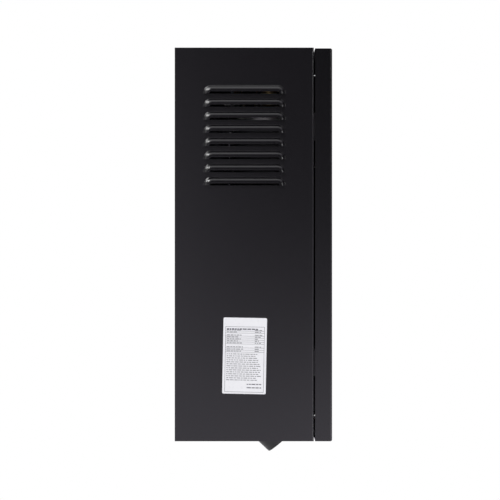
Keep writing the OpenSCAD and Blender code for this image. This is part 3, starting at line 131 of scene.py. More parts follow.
class Finish:
    """A surface finish: one shader, and the steps that feed it."""

    def __init__(self, name, colour, roughness, metallic=0.0, slot=None):
        self.material = bpy.data.materials.new(name)
        self.material.use_nodes = True
        self.tree = self.material.node_tree
        self.shader = self.tree.nodes["Principled BSDF"]
        self.place = self.add("TexCoord")["Object"]
        self.put("Base Color", (*colour, 1))
        self.put("Roughness", roughness)
        self.put("Metallic", metallic)
        if slot:
            FINISHES[slot] = self.material

    def put(self, socket, value):
        """Sets a number or colour of the shader, or links a node's output to it."""
        if isinstance(value, bpy.types.NodeSocket):
            self.tree.links.new(value, self.shader.inputs[socket])
        else:
            self.shader.inputs[socket].default_value = value

    def add(self, kind, inputs=(), **settings):
        """A node in this finish's own graph. Gives its outputs."""
        return add_node(self.tree, kind, inputs, **settings)

    def grain(self, size, detail, stretch=None):
        """Soft noise with features of about this size, from 0 to 1, or stretched along an axis."""
        place = self.place
        if stretch:
            place = self.add("Mapping", {"Vector": place, "Scale": stretch})[0]
        inputs = {"Vector": place, "Scale": 1 / (size * MM), "Detail": detail}
        return self.add("TexNoise", inputs)[0]

    def cells(self, size):
        """The distance to scattered points that lie about this far apart."""
        return self.add("TexVoronoi", {"Vector": self.place, "Scale": 1 / (size * MM)})[0]

    def between(self, factor, start, end, low, high):
        """Maps a factor's stretch from start to end onto the values from low to high."""
        return self.add("MapRange", {0: factor, 1: start, 2: end, 3: low, 4: high})[0]

    def tint(self, factor, first, second):
        """A colour between two tints."""
        return self.add("Mix", {0: factor, 6: (*first, 1), 7: (*second, 1)}, data_type="RGBA")[2]

    def sum(self, first, second, share):
        """One factor plus a share of another."""
        return self.add("Math", {0: second, 1: share, 2: first}, operation="MULTIPLY_ADD")[0]

    def drive(self, texture, tints=None, gloss=None, depth=None, strength=1.0):
        """Lets a texture, or a new grain of this size and detail, set what is given: the two tints,
        the limits of the roughness, and the depth of the relief."""
        if isinstance(texture, tuple):
            texture = self.grain(*texture)
        if tints:
            self.put("Base Color", self.tint(texture, *tints))
        if gloss:
            self.put("Roughness", self.between(texture, *NOISE_SPREAD, *gloss))
        if depth:
            bump = {"Strength": strength, "Distance": depth * MM, "Height": texture}
            self.put("Normal", self.add("Bump", bump)[0])


print("finish helper ready")

# %% [markdown]
# ## The studio
# The object hangs in a white studio. The world is white to the camera, and also to glossy and
# transmitted rays, so that metal and glass show a white room. As light on the object it is a
# little weaker, so that white print stays below pure white. Its light is found by bounced rays
# alone, since a lamp-like search would shine past the shaded cards that follow.

# %% Paint the world white
scene = bpy.context.scene
scene.view_settings.view_transform = "Standard"
WORLD_FILL = 0.80
WHITE = (1, 1, 1, 1)

world = bpy.data.worlds.new("white_studio")
scene.world = world
world.use_nodes = True
world.cycles.sampling_method = "NONE"
room = world.node_tree
room.nodes.clear()
rays = add_node(room, "LightPath")
shiny = add_node(room, "Math", {
    0: rays["Is Glossy Ray"], 1: rays["Is Transmission Ray"]}, operation="MAXIMUM")
seen = add_node(room, "Math", {0: rays["Is Camera Ray"], 1: shiny[0]}, operation="MAXIMUM")
level = add_node(room, "MapRange", {"Value": seen[0], "To Min": WORLD_FILL, "To Max": 1.0})
background = add_node(room, "Background", {"Color": WHITE, "Strength": level[0]})
add_node(room, "OutputWorld", {0: background[0]})
print("world fill:", WORLD_FILL)

# %% [markdown]
# Such a boiler hangs about 1.2 m above the floor, so the floor lies that far below it. It also
# glows a little, for the camera alone, which leaves it pale and keeps the cabinet's faint shadow.

# %% Lay the floor
FLOOR_Z = -1.2
FLOOR_HALF = 6.0
FLOOR_GLOW = 0.25


def stage_sheet(name, corners, material):
    """A flat sheet for the studio, which isn't part of the boiler."""
    mesh = bpy.data.meshes.new(name)
    mesh.from_pydata(corners, [], [(0, 1, 2, 3)])
    mesh.materials.append(material)
    sheet = bpy.data.objects.new(name, mesh)
    scene.collection.objects.link(sheet)
    sheet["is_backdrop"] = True
    return sheet


floor_paint = Finish("studio_floor_paint", (0.86, 0.86, 0.87), 0.8)
floor_rays = floor_paint.add("LightPath")
glow = floor_paint.add("Math", {
    0: floor_rays["Is Camera Ray"], 1: FLOOR_GLOW}, operation="MULTIPLY")
floor_paint.put("Emission Color", WHITE)
floor_paint.put("Emission Strength", glow[0])
floor_corners = [(x * FLOOR_HALF, y * FLOOR_HALF, FLOOR_Z)
                 for x, y in ((-1, -1), (1, -1), (1, 1), (-1, 1))]
stage_sheet("studio_floor", floor_corners, floor_paint.material)
print("floor at", FLOOR_Z, "m")

# %% [markdown]
# ## The lamps
# Most light comes from the white room. Seven soft boxes only draw highlights: two high on the wall
# side, which draw a bright arc and a spot on the end of every louvre, one overhead along the upper
# folds, two level with the ends of the front fold, and two for the door and the far side. The last
# five are weak, which keeps black paint black from every side, where a strong lamp would leave a
# white glare.

# %% Hang the soft boxes
LAMPS = {
    # name: (position, point it faces, length of its sides, power)
    "louvre_box": ((-1.07, 0.64, 1.50), (-0.185, -0.08, 0.47), 0.3, 16.0),
    "wall_side_box": ((-0.25, 1.00, 1.50), (-0.185, -0.05, 0.45), 0.4, 14.0),
    "overhead_box": ((-0.55, -0.10, 1.75), (-0.10, -0.11, 0.30), 0.9, 1.2),
    "upper_edge_box": ((-1.50, -1.60, 0.90), (-0.185, -0.21, 0.55), 0.4, 4.0),
    "lower_edge_box": ((-1.50, -1.60, -0.40), (-0.185, -0.21, 0.05), 0.4, 4.0),
    "door_box": ((0.90, -1.60, 1.60), (0.0, -0.24, 0.40), 0.8, 6.0),
    "far_side_box": ((1.50, 0.60, 1.50), (0.185, -0.10, 0.40), 0.8, 5.0),
}


def hang_lamp(name, place, target, side, power):
    """A square soft box that faces a point."""
    data = bpy.data.lights.new(name, "AREA")
    data.size = side
    data.energy = power
    lamp = bpy.data.objects.new(name, data)
    scene.collection.objects.link(lamp)
    lamp.location = place
    lamp.rotation_euler = (Vector(target) - Vector(place)).to_track_quat("-Z", "Y").to_euler()
    return lamp


lamps = {name: hang_lamp(name, *values) for name, values in LAMPS.items()}
print("lamps:", ", ".join(lamps))

# %% [markdown]
# The two lamps on the wall side are strong. On the top panel they would leave a glare, so they
# light the louvred side panels alone. Blender calls this light linking: a lamp whose receiver is a
# collection lights only what is in it.

# %% Let the louvre lamps light the side panels alone
louvred_panels = bpy.data.collections.new("louvred_panels")
for node in ("left_side_panel", "right_side_panel"):
    louvred_panels.objects.link(frame["nodes"][node])
for name in ("louvre_box", "wall_side_box"):
    lamps[name].light_linking.receiver_collection = louvred_panels

# %% [markdown]
# Black paint shows hardly anything of its own colour: its look is what it mirrors. So three large
# cards stand round the boiler, to the left, in front and to the right. Each is black in the
# middle, where the photographer would be, and fades to white towards the floor and the ceiling,
# which is the soft gradient on the panels. Two more glows, in a lower corner and at half height on
# the other side, carry it across a panel. Only glossy rays see the cards, which leave no shadow.

# %% Stand up the shaded cards
CARD_AWAY, CARD_HALF, CARD_TOP = 3.6, 4.0, 5.0
CARD_TINT = (1.0, 0.95, 1.08, 1)


def shaded_card_paint():
    """An emitting material, black in the middle and white where the card glows."""
    material = bpy.data.materials.new("shaded_card_paint")
    material.use_nodes = True
    tree = material.node_tree
    tree.nodes.clear()
    place = add_node(tree, "SeparateXYZ", {0: add_node(tree, "TexCoord")["Object"]})

    def fade(axis, dark, light, strength=1.0):
        """0 at the place that is dark, up to the strength at the one that is light."""
        return add_node(tree, "MapRange", {
            0: place[axis], "From Min": dark, "From Max": light, "To Max": strength},
            interpolation_type="SMOOTHSTEP")[0]

    def combine(operation, *values):
        """All values added or multiplied."""
        total = values[0]
        for value in values[1:]:
            total = add_node(tree, "Math", {0: total, 1: value}, operation=operation)[0]
        return total

    floor_glow = fade("Z", 0.4, -0.6, 1.1)
    ceiling_glow = fade("Z", 2.4, 4.8)
    corner_glow = combine("MULTIPLY", fade("Z", 0.2, -0.8), fade("Y", 0.0, -1.0, 1.2))
    side_glow = combine("MULTIPLY", fade("Z", 1.2, 0.4), fade("Z", -0.7, 0.2),
                        fade("Y", 0.0, 0.6, 1.3))
    total = combine("ADD", floor_glow, ceiling_glow, corner_glow, side_glow)
    emission = add_node(tree, "Emission", {"Color": CARD_TINT, "Strength": total})
    add_node(tree, "OutputMaterial", {0: emission[0]})
    return material


card_paint = shaded_card_paint()
for name, turn in (("left_card", 0), ("front_card", 90), ("right_card", 180)):
    card = stage_sheet(
        name,
        [(-CARD_AWAY, -CARD_HALF, FLOOR_Z), (-CARD_AWAY, CARD_HALF, FLOOR_Z),
         (-CARD_AWAY, CARD_HALF, CARD_TOP), (-CARD_AWAY, -CARD_HALF, CARD_TOP)],
        card_paint)
    card.rotation_euler.z = math.radians(turn)
    card.visible_camera = False
    card.visible_shadow = False
    card.visible_diffuse = False
print("cards stand", CARD_AWAY, "m away")

# %% [markdown]
# ## Black powder coat
# The cabinet is powder coated: black powder sprayed on and baked. Seen close, the film has a fine
# grain of about half a millimetre, with a faint violet cast, and single grains catch the light. Two
# noises make the relief, a fine one for the grain and a wider one for the slight waviness of a
# baked film. A third, of scattered cells, paints single grains a little lighter: painted glints.

# %% Powder coat
powder = Finish("powder_coat", (0.0055, 0.0052, 0.0062), 0.30, slot="cabinet_paint")
fine = powder.grain(0.45, 2.0)
# Scattered cells paint single grains lighter in the colour: painted glints.
painted_glints = powder.between(powder.cells(0.8), 0.0, 0.22, 1.0, 0.0)
powder.drive(powder.sum(fine, painted_glints, 0.5), ((0.0022, 0.0020, 0.0027), (0.0056, 0.0050, 0.0067)))
powder.drive(fine, gloss=(0.20, 0.28))
powder.drive(powder.sum(fine, powder.grain(3.5, 2.0), 0.6), depth=0.02, strength=0.5)
print("powder coat ready")

# %% [markdown]
# ## Metals
# Zinc plating has large soft-edged crystals, which voronoi cells give. Turned steel and the tank's
# drawn steel carry fine lines, so their grain is stretched along one axis. Brass and copper are
# clean but slightly uneven, as hand-tightened fittings are, and the pump's cast iron and cast
# aluminium are rough to the touch.

# %% Zinc-plated and bright steel
zinc = Finish("zinc_plate", (0.60, 0.61, 0.62), 0.38, 1.0, "zinc_steel")
zinc.drive((9.0, 4.0), ((0.56, 0.57, 0.58), (0.65, 0.65, 0.645)))
zinc.put("Roughness", zinc.between(zinc.cells(7.0), 0.1, 0.8, 0.46, 0.53))
zinc.drive((0.6, 3.0), depth=0.01)

bright = Finish("turned_steel", (0.68, 0.68, 0.69), 0.25, 1.0, "bright_steel")
bright.drive((0.8, 3.0, (1, 1, 8)), gloss=(0.18, 0.36), depth=0.008)
print("zinc plate and turned steel ready")

# %% Tank and element steel
drawn = Finish("drawn_stainless", (0.55, 0.54, 0.52), 0.32, 1.0, "tank_steel")
drawn.drive((1.2, 4.0, (6, 6, 0.15)), ((0.45, 0.445, 0.43), (0.62, 0.61, 0.59)), (0.24, 0.42), 0.01)

heated = Finish("annealed_sheath", (0.30, 0.28, 0.25), 0.45, 1.0, "element_steel")
heated.drive((6.0, 5.0), ((0.20, 0.18, 0.17), (0.42, 0.38, 0.32)), (0.35, 0.60))
heated.drive((0.5, 3.0), depth=0.01)
print("tank and element steel ready")

# %% Brass and copper
brass = Finish("machined_brass", (0.70, 0.52, 0.24), 0.30, 1.0, "brass")
brass.drive((4.0, 5.0), ((0.60, 0.43, 0.18), (0.78, 0.60, 0.30)))
brass.drive((1.5, 3.0), gloss=(0.22, 0.44))
brass.drive((0.5, 3.0), depth=0.012)

copper = Finish("drawn_copper", (0.72, 0.36, 0.22), 0.28, 1.0, "copper")
tarnish = copper.grain(14.0, 6.0)
tarnished = copper.between(tarnish, 0.4, 0.75, 0.0, 1.0)
copper.drive(tarnished, ((0.76, 0.40, 0.26), (0.42, 0.20, 0.12)))
copper.put("Roughness", copper.between(tarnish, 0.35, 0.7, 0.20, 0.42))
copper.drive((0.8, 3.0, (3, 3, 0.3)), depth=0.008)
print("brass and copper ready")

# %% Pump castings
iron = Finish("coated_casting", (0.035, 0.038, 0.042), 0.55, slot="pump_casting")
iron.drive((1.6, 5.0), ((0.022, 0.024, 0.027), (0.055, 0.058, 0.062)), (0.42, 0.68), 0.25, 0.6)

alloy = Finish("cast_aluminium", (0.55, 0.56, 0.57), 0.45, 1.0, "motor_alloy")
alloy.drive((1.2, 5.0), ((0.36, 0.37, 0.38), (0.50, 0.50, 0.51)), (0.38, 0.58), 0.08, 0.7)
print("castings ready")

# %% [markdown]
# ## Plastics and rubber
# Moulded plastic is never quite smooth: the mould leaves a fine matt grain, and long walls bulge a
# little. The black parts, the red knobs, the dark relays and the buttons share that build and
# differ in colour and gloss, so one function makes them all. Rubber and foam are rougher.

# %% Moulded plastics
def moulded(slot, name, colour, roughness, grain_mm=0.5, depth=0.02):
    """A moulded plastic with a fine eroded grain and a slight waviness."""
    finish = Finish(name, colour, roughness, slot=slot)
    texture, sink = finish.grain(grain_mm, 3.0), finish.grain(18.0, 2.0)
    darker = tuple(c * 0.85 for c in colour)
    lighter = tuple(min(1.0, c * 1.12) for c in colour)
    finish.drive(finish.sum(sink, texture, 0.3), (darker, lighter))
    finish.drive(texture, gloss=(roughness - 0.07, roughness + 0.08))
    finish.drive(finish.sum(texture, sink, 1.5), depth=depth, strength=0.6)
    return finish


moulded("black_plastic", "black_moulding", (0.013, 0.0125, 0.0145), 0.40)
moulded("fascia_plastic", "fascia_moulding", (0.006, 0.006, 0.007), 0.20, 0.35, 0.002)
moulded("button_plastic", "satin_button", (0.62, 0.62, 0.63), 0.35, 0.4, 0.008)
moulded("red_plastic", "red_moulding", (0.42, 0.025, 0.018), 0.36)
moulded("pale_plastic", "pale_moulding", (0.66, 0.65, 0.60), 0.40)
moulded("wire_sleeve", "brown_sleeve", (0.10, 0.045, 0.022), 0.38)
moulded("gasket_rubber", "fibre_gasket", (0.020, 0.020, 0.020), 0.75, 0.7, 0.06)
print("plastics:", len(FINISHES), "finishes so far")

# %% Vessel paint, jacket foam and boards
vessel = Finish("vessel_enamel", (0.030, 0.031, 0.034), 0.28, slot="vessel_paint")
vessel.drive((2.2, 2.0), ((0.022, 0.023, 0.026), (0.036, 0.038, 0.042)), (0.22, 0.34), 0.04, 0.5)

foam = Finish("jacket_foam", (0.045, 0.045, 0.047), 0.85, slot="jacket_foam")
# The cells sink pores into the relief and paint the foam darker in them: painted shade in the
# pores.
pores_and_painted_shade = foam.cells(1.6)
foam.drive(pores_and_painted_shade, ((0.020, 0.020, 0.021), (0.070, 0.070, 0.072)))
foam.drive(foam.sum(pores_and_painted_shade, foam.grain(12.0, 3.0), 1.5), depth=0.5, strength=0.8)

laminate = Finish("solder_mask", (0.012, 0.075, 0.030), 0.30, slot="board_laminate")
weave = laminate.grain(0.5, 2.0)
traces = laminate.add("TexBrick", {
    "Vector": laminate.place, "Scale": 120.0, "Mortar Size": 0.03})["Fac"]
laminate.drive(traces, ((0.010, 0.062, 0.025), (0.022, 0.125, 0.050)))
laminate.drive(weave, gloss=(0.22, 0.38))
laminate.drive(laminate.sum(traces, weave, 0.2), depth=0.03, strength=0.7)
print("vessel, jacket and board ready")

# %% [markdown]
# ## Print, card and panes
# The rating label is white film with a faint cool cast. The dial is matt card and its pointer thin
# painted brass. The display window is smoked, the gauge's lens is clear: both are plastic panes,
# which a transmission shader with a plastic's refraction gives.

# %% Label film, dial card and pointer paint
film = Finish("label_film", (0.80, 0.80, 0.85), 0.30, slot="label_film")
film.drive((5.0, 2.0), ((0.90, 0.90, 0.935), (0.93, 0.93, 0.96)), (0.26, 0.36), 0.03, 0.3)

dial_card = Finish("dial_card", (0.78, 0.78, 0.75), 0.6, slot="dial_card")
dial_card.drive((0.4, 4.0), ((0.74, 0.74, 0.71), (0.82, 0.82, 0.79)), depth=0.01)

pointer_paint = Finish("pointer_paint", (0.012, 0.012, 0.012), 0.45, slot="pointer_paint")
pointer_paint.drive((0.4, 3.0), gloss=(0.38, 0.5))
print("film, card and pointer ready")

# %% Smoked and clear panes
ACRYLIC_IOR = 1.49


def pane(slot, name, colour, scratch):
    """A plastic pane: clear, a little uneven, with hair-fine scratches in its gloss."""
    finish = Finish(name, colour, 0.05, slot=slot)
    finish.put("Transmission Weight", 1.0)
    finish.put("IOR", ACRYLIC_IOR)
    finish.put("Roughness", finish.between(finish.grain(2.0, 4.0), 0.4, 0.8, 0.02, scratch))
    finish.drive((10.0, 2.0), depth=0.02, strength=0.4)


pane("smoked_pane", "smoked_acrylic", (0.30, 0.31, 0.33), 0.12)
pane("clear_pane", "clear_acrylic", (0.96, 0.97, 0.98), 0.08)
print("finishes:", len(FINISHES))

# %% [markdown]
# ## Dressing the solids
# The record names a material slot for each solid. Each solid's own slots get that finish, and no
# solid is moved or reshaped.

# %% Give every solid its finish
slot_of = {part["node"]: part["material_slot"] for part in frame["record"]["subparts"]}
for node, solid in frame["nodes"].items():
    finish = FINISHES[slot_of[node]]
    if not solid.material_slots:
        solid.data.materials.append(finish)
    for spot in solid.material_slots:
        spot.material = finish
print("dressed:", len(slot_of), "solids")

# %% [markdown]
# ## Helpers for small parts
# Print, screw heads, threads and the parts on a circuit board are too small for the construction
# model. Each could be modelled by hand with the mouse. Here three shapes make nearly all of them:
# an outline pushed out with a bevelled rim, a profile turned as on a lathe, and a copy of a shape
# made before. They are drawn in millimetres, in the frame of the face that they sit on.

# %% Place small parts on a face
def spin(degrees):
    """A turn about the axis that stands on the face."""
    return Matrix.Rotation(math.radians(degrees), 4, "Z")


def face_frame(point, right, up, turn=0.0):
    """A frame at a point in millimetres: x to the right, y up and z out of the face."""
    right, up = Vector(right), Vector(up)
    frame_axes = Matrix((right, up, right.cross(up))).transposed().to_4x4()
    return Matrix.Translation(point) @ frame_axes @ spin(turn)


def on_front(x, y, z, turn=0.0):
    """On a face that looks towards the door."""
    return face_frame((x, y, z), (1, 0, 0), (0, 0, 1), turn)


def on_underside(x, y, z, turn=0.0):
    """On a face that looks down."""
    return face_frame((x, y, z), (1, 0, 0), (0, -1, 0), turn)


def finish_part(name, shape, finish, body="cabinet", crease=38.0):
    """Turns a shape drawn in millimetres into a piece that rides on a body.

    The finish is a material, or the name of the slot whose finish the piece shares."""
    slot = finish if isinstance(finish, str) else None
    bmesh.ops.recalc_face_normals(shape, faces=shape.faces)
    bmesh.ops.transform(shape, matrix=Matrix.Scale(MM, 4), verts=shape.verts)
    data = bpy.data.meshes.new(name)
    shape.to_mesh(data)
    shape.free()
    data.materials.append(FINISHES[slot] if slot else finish)
    data.shade_smooth()
    data.set_sharp_from_angle(angle=math.radians(crease))
    part = bpy.data.objects.new(name, data)
    scene.collection.objects.link(part)
    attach(part, body)
    print(name, "has", len(data.polygons), "faces")
    return part


print("frames ready")

# %% Draw outlines
def round_outline(radius, steps=24, start=0.0, sweep=360.0):
    """Points round a circle or along an arc."""
    count = steps if sweep == 360.0 else steps + 1
    angles = [math.radians(start + sweep * i / steps) for i in range(count)]
    return [(radius * math.cos(a), radius * math.sin(a)) for a in angles]


def plate_outline(width, height, radius, steps=3):
    """A rectangle with rounded corners."""
    points = []
    for quarter, (sx, sy) in enumerate([(1, 1), (-1, 1), (-1, -1), (1, -1)]):
        cx, cy = sx * (width / 2 - radius), sy * (height / 2 - radius)
        for x, y in round_outline(radius, steps, 90.0 * quarter, 90.0):
            points.append((cx + x, cy + y))
    return points


def shifted(outline, x, y):
    """The outline moved sideways."""
    return [(px + x, py + y) for px, py in outline]


def shrunk(outline, by):
    """The outline drawn in by a small distance, for a bevel."""
    count = len(outline)
    result = []
    for i, (x, y) in enumerate(outline):
        before, after = Vector(outline[i - 1]), Vector(outline[(i + 1) % count])
        along = (after - before).normalized()
        result.append((x - along.y * by, y + along.x * by))
    return result


print("outlines ready")

# %% Push out, turn and copy
def bridge(shape, lower, upper):
    """Faces between two rings of points, of which one may be a single point on the axis."""
    count = max(len(lower), len(upper))
    for i in range(count):
        j = (i + 1) % count
        corners = [lower[i % len(lower)], lower[j % len(lower)],
                   upper[j % len(upper)], upper[i % len(upper)]]
        shape.faces.new([v for n, v in enumerate(corners) if v not in corners[:n]])


def loft(shape, levels, place):
    """A closed solid through flat outlines with as many points each, given with their heights."""
    rings = [[shape.verts.new(place @ Vector((x, y, z))) for x, y in ring] for ring, z in levels]
    shape.faces.new(list(reversed(rings[0])))
    shape.faces.new(rings[-1])
    for lower, upper in zip(rings, rings[1:]):
        bridge(shape, lower, upper)


def push_out(shape, outline, low, high, place, bevel=0.0):
    """A solid from a flat outline, between two heights, with a bevelled upper rim."""
    levels = [(outline, low), (outline, high - bevel)]
    if bevel:
        levels.append((shrunk(outline, bevel), high))
    loft(shape, levels, place)


def push_plate(shape, size, low, high, place, bevel=0.0, at=(0, 0)):
    """A rounded plate whose size is its width, height, corner radius and steps per corner."""
    push_out(shape, shifted(plate_outline(*size), *at), low, high, place, bevel)


def turn_profile(shape, profile, place, steps=24):
    """A solid of revolution from (radius, height) points that start and end on the axis."""
    rings = []
    for radius, z in profile:
        ring = round_outline(radius, steps) if radius else [(0, 0)]
        rings.append([shape.verts.new(place @ Vector((x, y, z))) for x, y in ring])
    for lower, upper in zip(rings, rings[1:]):
        bridge(shape, lower, upper)


def copy_in(shape, source, place):
    """Adds a finished small mesh, drawn in millimetres, at another place."""
    before = len(shape.verts)
    shape.from_mesh(source)
    shape.verts.ensure_lookup_table()
    bmesh.ops.transform(shape, matrix=place, verts=shape.verts[before:])


def cut_away(body_shape, tool_shape):
    """The mesh of one shape with another cut out of it."""
    objects = []
    for shape in (body_shape, tool_shape):
        bmesh.ops.recalc_face_normals(shape, faces=shape.faces)
        data = bpy.data.meshes.new("cutting")
        shape.to_mesh(data)
        shape.free()
        objects.append(bpy.data.objects.new("cutting", data))
        scene.collection.objects.link(objects[-1])
    cutting = objects[0].modifiers.new("cut", "BOOLEAN")
    cutting.object = objects[1]
    cutting.solver = "EXACT"
    cutting.operation = "DIFFERENCE"
    view = bpy.context.evaluated_depsgraph_get()
    result = bpy.data.meshes.new_from_object(objects[0].evaluated_get(view))
    for item in objects:
        bpy.data.objects.remove(item)
    return result


print("shapes ready")

# %% [markdown]
# ## Inks
# Print is a thin flat film. Black ink on a label is slightly grey, since it never covers fully, and
# signs on plastic are pad printed. One function makes all inks: a colour that is a little patchy,
# with a matt grain.

# %% Mix the inks
INK_T = 0.03
INK_ROUGHNESS, INK_GLOSS = 0.5, (0.42, 0.58)


def ink(name, colour):
    """A thin printed film, patchy at the scale of a few tenths of a millimetre."""
    finish = Finish(name, colour, INK_ROUGHNESS)
    thin = tuple(min(1.0, c * 1.25 + 0.01) for c in colour)
    finish.drive((0.5, 3.0), (colour, thin), INK_GLOSS)
    return finish.material


LABEL_INK = ink("label_ink", (0.10, 0.10, 0.12))
PALE_INK = ink("pale_ink", (0.70, 0.70, 0.70))
DARK_INK = ink("dark_ink", (0.02, 0.02, 0.022))
GREEN_INK = ink("green_ink", (0.03, 0.30, 0.08))
RED_INK = ink("red_ink", (0.50, 0.03, 0.02))
print("inks ready")

# %% [markdown]
# ## The rating label's form
# A rating label is a printed form: a framed table, ruled lines and small type. The type is drawn
# as a typesetter's dummy lines, which are plain bars of different length. Bars are real ink here,
# three hundredths of a millimetre thick, so they stay crisp at any distance. All measures start
# from the label's middle.

# %% Print the label
LABEL_TURN = -1.1
FRAME_U, FRAME_LINE = 29.5, 0.5
TABLE_TOP, TABLE_FOOT = 44.2, -55.2
RULES, RULE_LINE = (37.7, 34.6, 30.1, 27.2, 24.1, 21.1, 18.0, 12.1, 8.7, 5.6), 0.4
LEFT_COLUMN, RIGHT_COLUMN, ABOVE_RULE = -27.8, 15.0, 1.5
TEXT_U, TEXT_TOP, TEXT_STEP, TEXT_ROWS = -27.5, 2.6, 3.04, 14
label_low, label_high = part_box("rating_label")
label_middle = (label_low + label_high) / 2
label_face = face_frame(
    (label_low.x / MM, label_middle.y / MM, label_middle.z / MM), (0, -1, 0), (0, 0, 1), LABEL_TURN)
dice = random.Random(4)
label_shape = bmesh.new()


def label_bar(u, v, length, height):
    """One inked bar that starts at u and is centred on v."""
    outline = [(u, v - height / 2), (u + length, v - height / 2),
               (u + length, v + height / 2), (u, v + height / 2)]
    push_out(label_shape, outline, -INK_T, INK_T, label_face)


def dummy_words(start, end, v, height=0.95):
    """Bars like words, as long as chance makes them."""
    u = start
    while u < end - 1.5:
        length = min(dice.uniform(1.8, 6.5), end - u)
        label_bar(u, v, length, height)
        u += length + 1.1


for v in (TABLE_TOP, TABLE_FOOT):
    label_bar(-FRAME_U, v, 2 * FRAME_U, FRAME_LINE)
for u in (-FRAME_U - FRAME_LINE / 2, FRAME_U - FRAME_LINE / 2):
    label_bar(u, (TABLE_TOP + TABLE_FOOT) / 2, FRAME_LINE, TABLE_TOP - TABLE_FOOT)
dummy_words(TEXT_U, 22.0, 40.7, 1.9)
for v in RULES:
    label_bar(-FRAME_U, v, 2 * FRAME_U, RULE_LINE)
    dummy_words(LEFT_COLUMN, LEFT_COLUMN + dice.uniform(12.0, 30.0), v + ABOVE_RULE)
    dummy_words(RIGHT_COLUMN, RIGHT_COLUMN + dice.uniform(5.0, 12.0), v + ABOVE_RULE)
for row in range(TEXT_ROWS):
    dummy_words(TEXT_U, dice.uniform(16.0, 26.0), TEXT_TOP - row * TEXT_STEP)
for v in (-43.3, -48.5):
    dummy_words(4.0, 26.0, v, 1.5)
finish_part("label_print", label_shape, LABEL_INK)

# %% [markdown]
# ## The display and the signs on the buttons
# Behind the smoked window sits a display of light segments. Switched off, its segments show as pale
# bars on a dark plate, so the plate and the bars are two pieces. The buttons carry a minus, a plus
# and the common sign for on and off, which are pad printed and hardly thicker than paint.

# %% Make the display
DISPLAY_X, DISPLAY_Z, DISPLAY_Y = -25.0, 430.0, -235.9
SEGMENT_LONG, SEGMENT_WIDE, SEGMENT_LIFT = 7.2, 1.5, (0.4, 0.5)
display_glass = Finish("display_glass", (0.010, 0.010, 0.011), 0.12)
display_glass.drive((1.5, 3.0), gloss=(0.08, 0.2))
display_glass.drive((6.0, 2.0), depth=0.01, strength=0.3)
display_face = on_front(DISPLAY_X, DISPLAY_Y, DISPLAY_Z)
plate_shape, segment_shape = bmesh.new(), bmesh.new()
push_plate(plate_shape, (64.0, 24.4, 1.0), -0.2, 0.45, display_face, 0.25)
finish_part("display_plate", plate_shape, display_glass.material, "door")


def light_segment(x, y, upright):
    """One bar of a digit, pointed at both ends."""
    a, b = SEGMENT_LONG / 2, SEGMENT_WIDE / 2
    outline = [(-a, 0), (-a + b, -b), (a - b, -b), (a, 0), (a - b, b), (-a + b, b)]
    if upright:
        outline = [(-py, px) for px, py in outline]
    push_out(segment_shape, shifted(outline, x, y), *SEGMENT_LIFT, display_face)


for digit_x in (-12.0, 2.0):
    for level in (-1, 0, 1):
        light_segment(digit_x, 8.0 * level, False)
    for side in (-1, 1):
        for half in (-1, 1):
            light_segment(digit_x + 4.0 * side, 4.0 * half, True)
for i in range(4):
    row = 7.5 - 5.0 * i
    push_out(segment_shape, shifted(round_outline(0.9, 12), 19.0, row), *SEGMENT_LIFT, display_face)
    push_plate(segment_shape, (6.0, 0.9, 0.3), *SEGMENT_LIFT, display_face, at=(25.0, row))
finish_part("display_segments", segment_shape, ink("unlit_segments", (0.16, 0.16, 0.15)), "door")

# %% Print the button signs
BUTTON_X, BUTTON_FACE, SIGN_T = 57.0, -239.7, 0.05


def sign_shape(z, outlines):
    """The outlines of a sign, printed on the cap at this height."""
    shape = bmesh.new()
    for outline in outlines:
        push_out(shape, outline, -SIGN_T, SIGN_T, on_front(BUTTON_X, BUTTON_FACE, z))
    return shape


def ring_piece(inner, outer, start, sweep, steps=20):
    """A bent bar along an arc."""
    outside = round_outline(outer, steps, start, sweep)
    return outside + list(reversed(round_outline(inner, steps, start, sweep)))


level_bar = plate_outline(5.4, 1.1, 0.4)
upright_bars = [shifted(plate_outline(1.1, 2.15, 0.3), 0, 1.625 * side) for side in (-1, 1)]
finish_part("minus_sign", sign_shape(412.0, [level_bar]), DARK_INK, "less_button")
finish_part("plus_sign", sign_shape(430.0, [level_bar] + upright_bars), DARK_INK, "more_button")
finish_part("power_sign", sign_shape(448.0, [
    ring_piece(2.0, 2.75, 125.0, 290.0), shifted(plate_outline(0.8, 2.8, 0.3), 0, 1.8)]),
    PALE_INK, "power_button")

# %% [markdown]
# ## The pressure gauge
# The gauge under the cabinet looks down and forwards, so that it can be read from the floor. Its
# dial has a scale from 0 to 4 with a green stretch for normal pressure and a red one at the end.
# Ticks and stretches are outlines on the dial's frame, and the plain numbers are text turned into
# mesh.

# %% Print the dial
DIAL_TILT = 140.0
DIAL_AT = Vector((-140.0, -159.9, -4.4))
DIAL_FACE = -6.0
DIAL_ZERO, DIAL_SWEEP, DIAL_END = 225.0, 270.0, 4
STRETCH_INNER, STRETCH_OUTER, TICK_OUTER = 17.6, 18.9, 17.2
TICKS = ((10, 13.6, 0.55), (5, 15.0, 0.35), (1, 16.0, 0.22))    # every how many, inner end, width
dial_frame = (Matrix.Translation(DIAL_AT) @ Matrix.Rotation(math.radians(DIAL_TILT), 4, "X")
              @ Matrix.Translation((0, 0, DIAL_FACE)))


def dial_angle(value):
    """Where a value stands on the dial, in degrees."""
    return DIAL_ZERO - DIAL_SWEEP * value / DIAL_END


def dial_stretch(name, low, high, finish):
    """A coloured arc between two values."""
    shape = bmesh.new()
    arc = ring_piece(STRETCH_INNER, STRETCH_OUTER, dial_angle(high),
                     dial_angle(low) - dial_angle(high))
    push_out(shape, arc, -INK_T, INK_T, dial_frame)
    finish_part(name, shape, finish)


